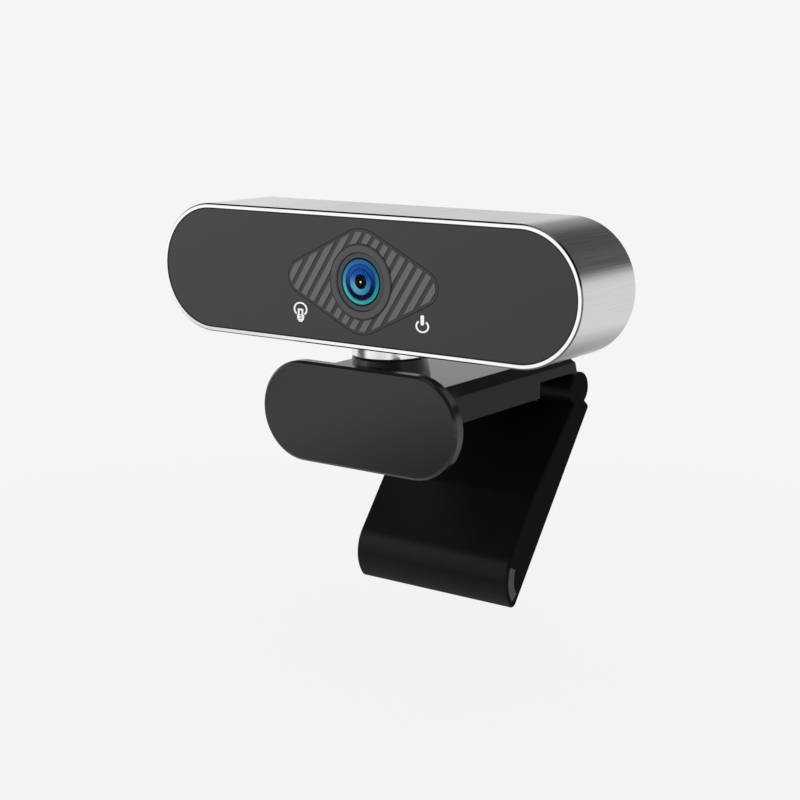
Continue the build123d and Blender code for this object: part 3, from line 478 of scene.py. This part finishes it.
def make_glass_with_painted_reflections(name, radius, upper, lower):
    """Makes lens glass with painted reflections: rings of colour that differ above and below the axis."""
    material, tree, shader, place = start_material(
        name, {"IOR": 1.45, "Roughness": 0.25, "Specular IOR Level": 0.04}
    )
    flat, away = add_radius(tree, place)
    share = add_range(tree, away, 0.0, radius * MM)
    above, below = (add_ramp(tree, share, stops) for stops in (upper, lower))
    toward = add_vector(tree, "NORMALIZE", flat)[0]
    side = add_node(tree, "ShaderNodeSeparateXYZ", {"Vector": toward}).outputs
    # Painted reflections: the upper rings fade into the lower ones below the axis, then painted light
    # brightens the left and painted shade darkens the right
    both = add_fade(tree, side["Z"], -0.75, 0.85, below, above, interpolation_type="SMOOTHSTEP")
    glow = add_fade(tree, side["X"], -1.0, 0.8, LEFT_PAINTED_LIGHT, RIGHT_PAINTED_SHADE)
    shade = add_vector(tree, "MULTIPLY", both, glow)[0]
    tree.links.new(shade, shader.inputs["Base Color"])
    return material


def make_clear_glass():
    """Makes coated front glass with little glare, which lamps shine through to what is behind it."""
    material, tree, shader = start_material("optical_glass", {
        "Base Color": linear("#f6faff"), "Transmission Weight": 1.0, "Roughness": 0.0, "IOR": 1.08,
    })[:3]
    light = add_node(tree, "ShaderNodeLightPath")
    clear = add_node(tree, "ShaderNodeBsdfTransparent")
    both = add_node(tree, "ShaderNodeMixShader", {
        0: light.outputs["Is Shadow Ray"], 1: shader.outputs[0], 2: clear.outputs[0],
    })
    tree.links.new(both.outputs[0], tree.nodes["Material Output"].inputs["Surface"])
    return material


def finish_piece(bm, name, body, material, replaces=()):
    """Turns a mesh in millimetres into an object that rides on a body and stands for what it replaces."""
    bmesh.ops.remove_doubles(bm, verts=bm.verts, dist=TOUCH)
    bmesh.ops.recalc_face_normals(bm, faces=bm.faces)
    bmesh.ops.scale(bm, vec=(MM, MM, MM), verts=bm.verts)
    mesh = bpy.data.meshes.new(name)
    bm.to_mesh(mesh)
    bm.free()
    mesh.shade_smooth()
    mesh.set_sharp_from_angle(angle=SHARP_ANGLE)
    mesh.materials.append(material)
    piece = bpy.data.objects.new(name, mesh)
    bpy.context.scene.collection.objects.link(piece)
    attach(piece, body)
    if replaces:
        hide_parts(*replaces)


def turn(points, centre, axis):
    """Turns a section of radius and distance along an axis. It is closed where it starts off the axis."""
    bm = bmesh.new()
    side = axis.orthogonal().normalized()
    verts = [bm.verts.new(centre + side * radius + axis * distance) for radius, distance in points]
    edges = [bm.edges.new(pair) for pair in zip(verts, verts[1:])]
    if points[0][0] > 0:
        edges.append(bm.edges.new((verts[-1], verts[0])))
    bmesh.ops.spin(
        bm, geom=verts + edges, cent=centre, axis=axis, angle=2 * pi, steps=ROUND_STEPS, use_merge=True
    )
    return bm


def dome(radius, rim, crown):
    """Section points of a dome from its crown on the axis to its rim."""
    rise = rim - crown
    curve = (radius * radius + rise * rise) / (2 * rise)
    angles = [asin(radius / curve) * i / DOME_STEPS for i in range(DOME_STEPS + 1)]
    return [(curve * sin(angle), crown + curve * (1 - cos(angle))) for angle in angles]


def stamp(shape, places):
    """Copies a finished shape to each place, and returns the copies as one mesh."""
    mesh = bpy.data.meshes.new("stamp")
    shape.to_mesh(mesh)
    shape.free()
    bm = bmesh.new()
    for place in places:
        before = set(bm.verts)
        bm.from_mesh(mesh)
        bmesh.ops.transform(bm, matrix=place, verts=[v for v in bm.verts if v not in before])
    bpy.data.meshes.remove(mesh)
    return bm


def round_edges(bm, edges, radius, segments):
    """Rounds edges by a radius, in so many facets."""
    bmesh.ops.bevel(
        bm, geom=edges, offset=radius, segments=segments, profile=0.5, affect="EDGES", material=-1
    )


def slice_across(bm, normal, distances, **settings):
    """Cuts new edges through a mesh at these distances along a direction."""
    for distance in distances:
        geom = bm.verts[:] + bm.edges[:] + bm.faces[:]
        bmesh.ops.bisect_plane(
            bm, geom=geom, plane_co=normal * distance, plane_no=normal, dist=CUT_LIMIT, **settings
        )


def draw_out(bm, faces, way):
    """Draws copies of faces out along a way, with walls round them."""
    result = bmesh.ops.extrude_face_region(bm, geom=faces)
    moved = [v for v in result["geom"] if isinstance(v, bmesh.types.BMVert)]
    bmesh.ops.translate(bm, vec=way, verts=moved)


def sink(bm, faces, depth):
    """Pushes faces down along Z by a depth, with walls round them."""
    draw_out(bm, faces, (0, 0, -depth))
    bmesh.ops.delete(bm, geom=faces, context="FACES")


def screw_shape(sizes, head_height, crown, shank_length):
    """Makes a cross-recess screw whose head stands on the XY plane and points along Z."""
    section = [
        (0, head_height),
        (HEAD_RADIUS * 0.72, head_height),
        (HEAD_RADIUS * 0.92, head_height - crown * 0.4),
        (HEAD_RADIUS, head_height - crown),
        (HEAD_RADIUS, 0),
        (SHANK_RADIUS, 0),
        (SHANK_RADIUS, -shank_length),
        (0, -shank_length),
    ]
    bm = turn(section, Vector(), UP)
    bmesh.ops.remove_doubles(bm, verts=bm.verts, dist=TOUCH)
    half = sizes.recess_width / 2
    reach = HEAD_RADIUS * 0.6
    for direction in (Vector((1, 0, 0)), Vector((0, 1, 0))):
        slice_across(bm, direction, (-reach, -half, half, reach))
    slots = []
    for face in bm.faces:
        middle = face.calc_center_median()
        across, along = sorted((abs(middle.x), abs(middle.y)))
        if middle.z > head_height - TOUCH and across < half and along < reach:
            slots.append(face)
    sink(bm, slots, sizes.recess_depth)
    return bm


def pad_shape(sizes, width, length, thickness):
    """Makes a rubber pad that lies on the XY plane, with rounded corners and grooves along X in its top."""
    bm = bmesh.new()
    bmesh.ops.create_cube(bm, size=1.0, matrix=Matrix.Translation((0, 0, 0.5)))
    bmesh.ops.scale(bm, vec=(width, length, thickness), verts=bm.verts)
    posts = [e for e in bm.edges if abs(e.verts[0].co.z - e.verts[1].co.z) > thickness / 2]
    round_edges(bm, posts, PAD_CORNER, 6)
    rim = [e for e in bm.edges if min(v.co.z for v in e.verts) > thickness - TOUCH]
    round_edges(bm, rim, thickness * 0.2, 3)
    border = PAD_CORNER * 0.6
    count = int((length - 2 * border) / sizes.groove_pitch)
    middles = [(i - (count - 1) / 2) * sizes.groove_pitch for i in range(count)]
    half = sizes.groove_width / 2
    slice_across(bm, Vector((1, 0, 0)), (border - width / 2, width / 2 - border))
    slice_across(bm, Vector((0, 1, 0)), [m + side for m in middles for side in (-half, half)])
    grooves = []
    for face in bm.faces:
        middle = face.calc_center_median()
        inside = abs(middle.x) < width / 2 - border
        if middle.z > thickness - TOUCH and inside and any(abs(middle.y - m) < half for m in middles):
            grooves.append(face)
    sink(bm, grooves, sizes.groove_depth)
    return bm


def foot_shape(low, high):
    """Makes the arched pad in the quarter-round foot, between its two sides, with rounded outer ends."""
    inner, outer = FOOT_PAD_RADII
    centre = HINGE + LEG_ALONG * FOOT_REACH - LEG_OUT * LEG_BACK
    start = Matrix.Rotation(FOOT_PAD_START, 3, (-1, 0, 0)) @ LEG_ALONG
    bm = bmesh.new()
    ends = [bm.verts.new(centre + start * reach + Vector((low, 0, 0))) for reach in (inner, outer)]
    line = bm.edges.new(ends)
    bmesh.ops.spin(
        bm, geom=ends + [line], cent=centre, axis=(-1, 0, 0), angle=FOOT_PAD_SWEEP, steps=FOOT_STEPS
    )
    draw_out(bm, bm.faces[:], (high - low, 0, 0))
    longest = 2 * FOOT_PAD_SWEEP * outer / FOOT_STEPS
    arcs = []
    for edge in bm.edges:
        at_side = all(abs(abs(v.co.x) - high) < NEAR for v in edge.verts)
        outside = all((v.co - centre - Vector((v.co.x, 0, 0))).length > outer - NEAR for v in edge.verts)
        if at_side and outside and edge.calc_length() < longest:
            arcs.append(edge)
    round_edges(bm, arcs, FOOT_PAD_ROUND, 4)
    return bm


def add_arc(bm, centre, radius, stroke, start, sweep, low, high):
    """Adds a flat printed arc on the panel. Its start and its sweep are in degrees, from the right."""
    face = bm.faces.new([
        bm.verts.new(centre + Vector((radius - inset, depth, 0)))
        for inset, depth in ((0, low), (stroke, low), (stroke, high), (0, high))
    ])
    turned = Matrix.Rotation(-radians(start), 4, "Y")
    bmesh.ops.transform(
        bm, matrix=Matrix.Translation(centre) @ turned @ Matrix.Translation(-centre), verts=face.verts
    )
    geom = [face] + list(face.edges) + list(face.verts)
    steps = int(sweep / ARC_STEP_DEGREES)
    bmesh.ops.spin(bm, geom=geom, cent=centre, axis=(0, -1, 0), angle=radians(sweep), steps=steps)


def add_bar(bm, middle, bar, low, high, across=0.0):
    """Adds a flat printed bar with rounded corners on the panel, over or beside a symbol's middle."""
    up, width, height, corner = bar
    before = set(bm.verts)
    bmesh.ops.create_cube(bm, size=1.0)
    verts = [v for v in bm.verts if v not in before]
    bmesh.ops.scale(bm, vec=(width, high - low, height), verts=verts)
    bmesh.ops.translate(bm, vec=middle + Vector((across, (low + high) / 2, up)), verts=verts)
    posts = {e for v in verts for e in v.link_edges if abs(e.verts[0].co.y - e.verts[1].co.y) > TOUCH}
    round_edges(bm, list(posts), corner, 5)


def flatten(bm, middle):
    """Makes a symbol a little lower than wide, as it is printed."""
    bmesh.ops.scale(bm, vec=(1, 1, SYMBOL_FLATNESS), space=Matrix.Translation(-middle), verts=bm.verts)


def paint_room(tree, backdrop):
    """Paints the world: a backdrop for the camera, even light for matt surfaces, a room for gloss."""
    tree.nodes.clear()
    way = add_node(tree, "ShaderNodeTexCoord").outputs["Generated"]
    split = add_node(tree, "ShaderNodeSeparateXYZ", {"Vector": way}).outputs
    height, near_card = (
        add_vector(tree, "DOT_PRODUCT", way, axis)["Value"] for axis in (ROOM_UP, BLACK_CARD_WAY)
    )
    # A wall that is white in front and at the left, and pale grey behind
    behind = add_fade(tree, split["X"], -0.67, -0.60, WHITE, WALL_SHADE)
    wall = add_fade(tree, split["Y"], -0.2, 0.2, WHITE, behind)
    # Over the wall a soffit, darker at the right, then a vault, dark in front, with a pale zenith
    soffit = add_fade(tree, split["X"], -0.45, 0.42, linear("#969696"), linear("#484848"))
    vault = add_fade(tree, split["Y"], -0.05, 0.2, linear("#303030"), linear("#a8a8a8"))
    zenith = add_fade(tree, split["Z"], 0.86, 0.94, vault, linear("#d8d8d8"))
    top = add_fade(tree, height, 0.56, 0.66, soffit, zenith)
    # A dark card high at the back, which darkens the arm's slopes and the shoulder of the sleeve
    top = add_fade(tree, near_card, 0.93, 0.975, top, linear("#4a4a4a"))
    room = add_fade(tree, height, 0.14, 0.27, wall, top)
    light = add_node(tree, "ShaderNodeLightPath").outputs
    mirrored = add_node(tree, "ShaderNodeMath", {
        0: light["Is Glossy Ray"], 1: light["Is Transmission Ray"],
    }, operation="MAXIMUM")
    soft = add_node(tree, "ShaderNodeBackground", {"Color": WHITE, "Strength": WORLD_STRENGTH})
    pale = add_node(tree, "ShaderNodeBackground", {"Color": backdrop})
    shown = add_node(tree, "ShaderNodeBackground", {"Color": room})
    lit = add_node(tree, "ShaderNodeMixShader", {
        0: mirrored.outputs[0], 1: soft.outputs[0], 2: shown.outputs[0],
    })
    seen = add_node(tree, "ShaderNodeMixShader", {
        0: light["Is Camera Ray"], 1: lit.outputs[0], 2: pale.outputs[0],
    })
    add_node(tree, "ShaderNodeOutputWorld", {"Surface": seen.outputs[0]})


def make_floor_paper(backdrop):
    """Makes matt paper. Near the part a little of its own shading shows, and gloss sees painted dark patches.
    """
    material, tree, shader, place = start_material("floor_paper", {"Base Color": backdrop, "Roughness": 0.9})
    glow = add_range(tree, add_vector(tree, "LENGTH", place)["Value"], 0.10, 0.3, 0.92, 1.0)
    light = add_node(tree, "ShaderNodeLightPath").outputs
    seen = light["Is Camera Ray"]
    for kind in ("Is Glossy Ray", "Is Transmission Ray"):
        seen = add_node(tree, "ShaderNodeMath", {0: seen, 1: light[kind]}, operation="MAXIMUM").outputs[0]
    share = add_node(tree, "ShaderNodeMath", {0: seen, 1: glow}, operation="MULTIPLY")
    back = add_node(tree, "ShaderNodeSeparateXYZ", {"Vector": place}).outputs["Y"]
    tint = add_fade(tree, back, -0.2, 0.2, WHITE, WALL_SHADE)
    for (x, y), even_radius, outer_radius, brightness in FLOOR_PAINTED_SHADE:
        apart = add_vector(tree, "DISTANCE", place, (x, y, FLOOR_HEIGHT))["Value"]
        dim = add_range(tree, apart, even_radius, outer_radius, brightness)
        tint = add_vector(tree, "MULTIPLY", tint, dim)[0]
    plain = add_node(
        tree, "ShaderNodeMix", {0: light["Is Camera Ray"], 6: tint, 7: backdrop}, data_type="RGBA"
    )
    paper = add_node(tree, "ShaderNodeEmission", {"Color": plain.outputs[2]})
    both = add_node(tree, "ShaderNodeMixShader", {
        0: share.outputs[0], 1: shader.outputs[0], 2: paper.outputs[0],
    })
    tree.links.new(both.outputs[0], tree.nodes["Material Output"].inputs["Surface"])
    return material


class WEBCAM_OT_finish_parts(bpy.types.Operator):
    """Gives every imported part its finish"""

    bl_idname = "webcam.finish_parts"
    bl_label = "Finish the packed parts"

    def execute(self, context):
        colours = context.scene.webcam_colours
        dressed = {
            "body_shell": make_sleeve_finish(colours),
            "front_panel": make_panel_finish(colours),
            "lens_plate": make_plate_finish(colours),
            "lens_ring": make_ring_finish(colours),
        }
        for name, shade, grain, depth, roughness, others, parts in FINISHES:
            tone = linear(shade) if shade.startswith("#") else getattr(colours, shade)
            material = make_finish(name, tone, grain, depth, roughness, **others)
            dressed.update(dict.fromkeys(parts, material))
        # Zinc-plated steel of all other parts: a pale, cold metal with a satin shine
        steel = make_finish(
            "zinc_plated_steel", linear("#b9bbbe"), grain=0.3, depth=0.002, roughness=0.3, Metallic=1.0
        )
        for name, node in frame["nodes"].items():
            node.data.materials.clear()
            node.data.materials.append(dressed.get(name, steel))
        return {"FINISHED"}


class WEBCAM_OT_print_symbols(bpy.types.Operator):
    """Prints the light bulb and the power symbol on the front panel"""

    bl_idname = "webcam.print_symbols"
    bl_label = "Print the symbols"

    def execute(self, context):
        sizes = in_millimetres(context.scene.webcam_sizes)
        # Pad-printing ink: opaque white, silky, a hair's breadth thick
        shade = context.scene.webcam_colours.ink
        ink = make_finish(
            "pad_printing_ink", shade, grain=0.1, depth=0.002, roughness=0.5, spread=0.03, IOR=1.5
        )
        low, high = PANEL_FRONT - sizes.symbol_rise, PANEL_FRONT + sizes.symbol_rise
        stroke = sizes.symbol_stroke
        row = LENS_MIDDLE.z - sizes.symbol_drop

        bm = bmesh.new()
        middle = Vector((LENS_MIDDLE.x - sizes.symbol_spread, 0, row)) + BULB_SHIFT
        add_arc(bm, middle, sizes.bulb_radius, stroke, *BULB_ARC, low, high)
        for bar in BULB_BARS:
            add_bar(bm, middle, bar, low, high)
        for across, bar in BULB_PAIRS:
            add_bar(bm, middle, bar, low, high, -across)
            add_bar(bm, middle, bar, low, high, across)
        flatten(bm, middle)
        finish_piece(bm, "bulb_symbol", "head", ink)

        bm = bmesh.new()
        middle = Vector((LENS_MIDDLE.x + sizes.symbol_spread, 0, row)) + POWER_SHIFT
        add_arc(bm, middle, sizes.power_radius, stroke, *POWER_ARC, low, high)
        add_bar(bm, middle, POWER_BAR, low, high)
        flatten(bm, middle)
        finish_piece(bm, "power_symbol", "head", ink)
        return {"FINISHED"}


class WEBCAM_OT_fit_lens(bpy.types.Operator):
    """Fits the lens elements: a clear front glass over stepped rings with painted reflections and a dark
    pupil with a painted glint
    """

    bl_idname = "webcam.fit_lens"
    bl_label = "Fit the lens elements"

    def execute(self, context):
        colours = context.scene.webcam_colours
        navy, blue, sky, teal = colours.navy, colours.blue, colours.sky, colours.teal
        bright, ultramarine = linear("#1f5c90"), linear("#0a2e6a")
        black, line = linear("#020306"), linear("#03222e")
        crown = GLASS_LOW.y - SLEEVE_FRONT
        back = GLASS_HIGH.y - SLEEVE_FRONT
        rim = crown + FRONT_GLASS_RISE

        outer = dome(GLASS_RADIUS, rim, crown)
        inner = dome(GLASS_RADIUS, rim + FRONT_GLASS_RIM_WALL, crown + FRONT_GLASS_CROWN_WALL)
        glass = turn(outer + inner[::-1], LENS_ORIGIN, INWARDS)
        clear = make_clear_glass()
        finish_piece(glass, "lens_front_element", "head", clear, ["lens_front_glass"])

        # Stepped rings of glass whose coloured bands are painted reflections, from the pupil's black edge to
        # the dark line of the retaining ring
        front = [(PUPIL_RADIUS, RING_START), *RING_STEPS, (GLASS_RADIUS, RING_END)]
        rings = turn(front + [(GLASS_RADIUS, back), (PUPIL_RADIUS, back)], LENS_ORIGIN, INWARDS)
        reflection_paint = make_glass_with_painted_reflections("blue_coated_glass", GLASS_RADIUS, [
            (0.29, black), (0.32, navy), (0.35, blue), (0.48, blue), (0.55, ultramarine),
            (0.575, ultramarine), (0.60, blue), (0.72, blue), (0.755, ultramarine), (0.775, ultramarine),
            (0.80, bright), (0.95, bright), (0.97, line), (1.0, line),
        ], [
            (0.29, black), (0.32, teal), (0.40, sky), (0.53, sky), (0.57, navy), (0.76, navy),
            (0.79, bright), (0.86, teal), (0.95, teal), (0.97, line), (1.0, line),
        ])
        finish_piece(rings, "lens_coated_rings", "head", reflection_paint)

        # The pupil is black glass with a painted glint, a pale spot in its middle
        bead = dome(PUPIL_RADIUS, PUPIL_RIM, PUPIL_CROWN)
        pupil = turn(bead + [(PUPIL_RADIUS, back), (0, back)], LENS_ORIGIN, INWARDS)
        painted_glint = [(0.0, linear("#e9f1ec")), (0.1, linear("#c9d6ce")), (0.19, black), (1.0, black)]
        dark = make_glass_with_painted_reflections("black_coated_glass", PUPIL_RADIUS, painted_glint, painted_glint)
        finish_piece(pupil, "lens_pupil_glass", "head", dark)
        return {"FINISHED"}


class WEBCAM_OT_drive_screws(bpy.types.Operator):
    """Drives cross-recess screws into the rear cover, the arm's floor and the leg's cover"""

    bl_idname = "webcam.drive_screws"
    bl_label = "Drive the screws"

    def execute(self, context):
        sizes = in_millimetres(context.scene.webcam_sizes)
        # Black zinc on steel: dark metal with a dull oily shine
        steel = make_finish(
            "black_zinc_steel", linear("#4a4b4e"), grain=0.25, depth=0.003, roughness=0.32, spread=0.1,
            Metallic=1.0,
        )

        low, high = corners("cover_screws")
        seat = high.y - ROUND_HEAD
        backwards = Matrix.Rotation(-pi / 2, 4, "X")
        places = [
            Matrix.Translation((x, seat, z)) @ backwards
            for x in (low.x + HEAD_RADIUS, high.x - HEAD_RADIUS)
            for z in (low.z + HEAD_RADIUS, high.z - HEAD_RADIUS)
        ]
        screws = stamp(screw_shape(sizes, ROUND_HEAD, ROUND_HEAD_CROWN, seat - low.y), places)
        finish_piece(screws, "rear_cover_screws", "head", steel, ["cover_screws"])

        low, high = corners("arm_cover_screws")
        seat = low.z + FLUSH_HEAD
        downwards = Matrix.Rotation(pi, 4, "X")
        places = [
            Matrix.Translation((x, y, seat)) @ downwards
            for x in (low.x + HEAD_RADIUS, high.x - HEAD_RADIUS)
            for y in (low.y + HEAD_RADIUS, high.y - HEAD_RADIUS)
        ]
        screws = stamp(screw_shape(sizes, FLUSH_HEAD, FLUSH_HEAD_CROWN, high.z - seat), places)
        finish_piece(screws, "arm_floor_screws", "clip", steel, ["arm_cover_screws"])

        seat = LEG_OUT * (LEG_BACK - FLUSH_HEAD)
        outwards = (-LEG_OUT).to_track_quat("Z", "X").to_matrix().to_4x4()
        places = [
            Matrix.Translation(HINGE + LEG_ALONG * reach - seat) @ outwards for reach in LEG_SCREW_REACHES
        ]
        screws = stamp(screw_shape(sizes, FLUSH_HEAD, FLUSH_HEAD_CROWN, LEG_SCREW_SHANK), places)
        finish_piece(screws, "leg_lid_screws", "leg", steel, ["leg_cover_screws"])
        return {"FINISHED"}


class WEBCAM_OT_lay_pads(bpy.types.Operator):
    """Lays the grooved rubber pads under the arm and behind the lip, and the arched one in the foot"""

    bl_idname = "webcam.lay_pads"
    bl_label = "Lay the rubber pads"

    def execute(self, context):
        sizes = in_millimetres(context.scene.webcam_sizes)
        # Moulded rubber with a fine skin: dark grey, dull, slightly patchy
        shade = context.scene.webcam_colours.rubber
        rubber = make_finish(
            "moulded_rubber", shade, grain=0.25, depth=0.012, roughness=0.6, spread=0.08, IOR=1.52
        )

        low, high = corners("rest_pad")
        spread = high - low
        place = Matrix.Translation((0, (low.y + high.y) / 2, high.z)) @ Matrix.Rotation(pi, 4, "X")
        pad = stamp(pad_shape(sizes, spread.x, spread.y, spread.z), [place])
        finish_piece(pad, "rest_grip", "clip", rubber, ["rest_pad"])

        low, high = corners("lip_pad")
        spread = high - low
        place = Matrix.Translation((0, low.y, (low.z + high.z) / 2)) @ Matrix.Rotation(-pi / 2, 4, "X")
        pad = stamp(pad_shape(sizes, spread.x, spread.z, spread.y), [place])
        finish_piece(pad, "lip_grip", "clip", rubber, ["lip_pad"])

        low, high = corners("foot_pad")
        finish_piece(foot_shape(low.x, high.x), "foot_grip", "leg", rubber, ["foot_pad"])
        return {"FINISHED"}


class WEBCAM_OT_fit_gland(bpy.types.Operator):
    """Fits the ribbed rubber cable gland in the rear cover"""

    bl_idname = "webcam.fit_gland"
    bl_label = "Fit the cable gland"

    def execute(self, context):
        # Moulded rubber, a little smoother than the pads: dark grey with soft lights on its ribs
        shade = context.scene.webcam_colours.rubber
        rubber = make_finish(
            "gland_rubber", shade, grain=0.25, depth=0.01, roughness=0.55, spread=0.08, IOR=1.52
        )
        low, high = corners("cable_gland")
        centre = Vector((0, 0, (low.z + high.z) / 2))
        flange = high.x
        groove = low.y + GLAND_FLANGE
        section = [
            (GLAND_BORE, low.y), (flange, low.y), (flange, groove), (GLAND_NECK, groove),
            (GLAND_NECK, high.y - GLAND_NOSE),
        ]
        # Three ribs that get smaller towards the nose, as insets from the flange and distances from the end
        ribs = (
            (0.1, GLAND_NOSE), (0, 1.7), (0, 1.4), (0.1, 1.3), (0.45, 1.25), (0.45, 0.95), (0.2, 0.9),
            (0.2, 0.6), (0.6, 0.55), (0.6, 0.3), (0.45, 0.2), (0.75, 0),
        )
        section += [(flange - inset, high.y - distance) for inset, distance in ribs]
        # The bore's mouth has a small chamfer
        section += [(GLAND_BORE + 0.4, high.y), (GLAND_BORE, high.y - 0.4)]
        gland = turn(section, centre, INWARDS)
        finish_piece(gland, "cable_grommet", "head", rubber, ["cable_gland"])
        return {"FINISHED"}


class WEBCAM_OT_tap_insert(bpy.types.Operator):
    """Taps the tripod thread in the brass insert"""

    bl_idname = "webcam.tap_insert"
    bl_label = "Tap the tripod insert"

    def execute(self, context):
        sizes = in_millimetres(context.scene.webcam_sizes)
        # Machined brass: warm yellow, bright on the crests of the thread
        brass = make_finish(
            "machined_brass", linear("#d8b25f"), grain=0.3, depth=0.003, roughness=0.24, spread=0.05,
            Metallic=1.0,
        )
        low, high = corners("tripod_insert")
        centre = Vector((0, (low.y + high.y) / 2, 0))
        pitch = sizes.thread_pitch
        root = INSERT_BORE + sizes.thread_height

        # One turn's section, in shares of the pitch, is spun past both ends of the insert and cut off there
        section = [(INSERT_BORE, 0), (INSERT_BORE, 0.06), (root, 0.45), (root, 0.61), (INSERT_BORE, 1)]
        start = low.z - 1.5 * pitch
        bm = bmesh.new()
        points = [centre + Vector((radius, 0, start + share * pitch)) for radius, share in section]
        verts = [bm.verts.new(point) for point in points]
        edges = [bm.edges.new(pair) for pair in zip(verts, verts[1:])]
        turns = int((high.z - low.z) / pitch) + 4
        bmesh.ops.spin(
            bm, geom=verts + edges, cent=centre, axis=UP, angle=2 * pi * turns, steps=THREAD_STEPS * turns,
            dvec=(0, 0, pitch / THREAD_STEPS),
        )
        bmesh.ops.remove_doubles(bm, verts=bm.verts, dist=NEAR)
        slice_across(bm, -UP, [-low.z], clear_outer=True)
        slice_across(bm, UP, [high.z], clear_outer=True)

        # The outer wall is bridged to the thread at both ends
        rims = []
        for height in (low.z, high.z):
            level = [e for e in bm.edges if all(abs(v.co.z - height) < NEAR for v in e.verts)]
            inner = [e for e in level if e.is_boundary]
            circle = bmesh.ops.create_circle(
                bm, segments=ROUND_STEPS, radius=high.x, matrix=Matrix.Translation(centre + UP * height)
            )
            ring = list({e for v in circle["verts"] for e in v.link_edges})
            rims.append((inner, ring))
        for inner, ring in rims:
            bmesh.ops.bridge_loops(bm, edges=inner + ring)
        bmesh.ops.bridge_loops(bm, edges=rims[0][1] + rims[1][1])
        finish_piece(bm, "threaded_insert", "clip", brass, ["tripod_insert"])
        return {"FINISHED"}


class WEBCAM_OT_set_studio(bpy.types.Operator):
    """Sets up the world, the pale floor, the lamps and the camera"""

    bl_idname = "webcam.set_studio"
    bl_label = "Set up the studio"

    def execute(self, context):
        scene = context.scene
        backdrop = scene.webcam_colours.backdrop
        scene.view_settings.view_transform = "Standard"
        scene.world = bpy.data.worlds.new("studio_world")
        scene.world.use_nodes = True
        paint_room(scene.world.node_tree, backdrop)

        bm = bmesh.new()
        bmesh.ops.create_circle(
            bm, cap_ends=True, segments=ROUND_STEPS, radius=FLOOR_RADIUS,
            matrix=Matrix.Translation((0, 0, FLOOR_HEIGHT)),
        )
        mesh = bpy.data.meshes.new("floor")
        bm.to_mesh(mesh)
        bm.free()
        mesh.materials.append(make_floor_paper(backdrop))
        floor = bpy.data.objects.new("floor", mesh)
        scene.collection.objects.link(floor)

        for name, place, width, power, mirrored in LAMPS:
            lamp = bpy.data.lights.new(name, "AREA")
            lamp.size = width
            lamp.energy = power
            holder = bpy.data.objects.new(name, lamp)
            holder.location = place
            holder.rotation_euler = (Vector(place) - LAMP_TARGET).to_track_quat("Z", "Y").to_euler()
            holder.visible_glossy = mirrored
            scene.collection.objects.link(holder)

        lens = bpy.data.cameras.new("photo_camera")
        lens.sensor_width = CAMERA_SENSOR
        lens.lens = CAMERA_LENS
        camera = bpy.data.objects.new("photo_camera", lens)
        camera.location = CAMERA_PLACE
        camera.rotation_euler = CAMERA_TURN
        scene.collection.objects.link(camera)
        scene.camera = camera
        return {"FINISHED"}


class WEBCAM_PT_sidebar(bpy.types.Panel):
    """Lists the steps that build the webcam, and what can be changed"""

    bl_idname = "WEBCAM_PT_sidebar"
    bl_label = "Webcam"
    bl_space_type = "VIEW_3D"
    bl_region_type = "UI"
    bl_category = "Webcam"

    def draw(self, context):
        for step in STEPS:
            self.layout.operator(step.bl_idname)
        for group in (context.scene.webcam_sizes, context.scene.webcam_colours):
            for name in group.__annotations__:
                self.layout.prop(group, name)


STEPS = (
    WEBCAM_OT_finish_parts,
    WEBCAM_OT_print_symbols,
    WEBCAM_OT_fit_lens,
    WEBCAM_OT_drive_screws,
    WEBCAM_OT_lay_pads,
    WEBCAM_OT_fit_gland,
    WEBCAM_OT_tap_insert,
    WEBCAM_OT_set_studio,
)
CLASSES = (WebcamSizes, WebcamColours) + STEPS + (WEBCAM_PT_sidebar,)


def register():
    for cls in CLASSES:
        bpy.utils.register_class(cls)
    bpy.types.Scene.webcam_sizes = PointerProperty(type=WebcamSizes)
    bpy.types.Scene.webcam_colours = PointerProperty(type=WebcamColours)


def unregister():
    del bpy.types.Scene.webcam_colours
    del bpy.types.Scene.webcam_sizes
    for cls in reversed(CLASSES):
        bpy.utils.unregister_class(cls)


def main():
    register()
    bpy.ops.webcam.finish_parts()
    bpy.ops.webcam.print_symbols()
    bpy.ops.webcam.fit_lens()
    bpy.ops.webcam.drive_screws()
    bpy.ops.webcam.lay_pads()
    bpy.ops.webcam.fit_gland()
    bpy.ops.webcam.tap_insert()
    bpy.ops.webcam.set_studio()


if __name__ == "__main__":
    main()
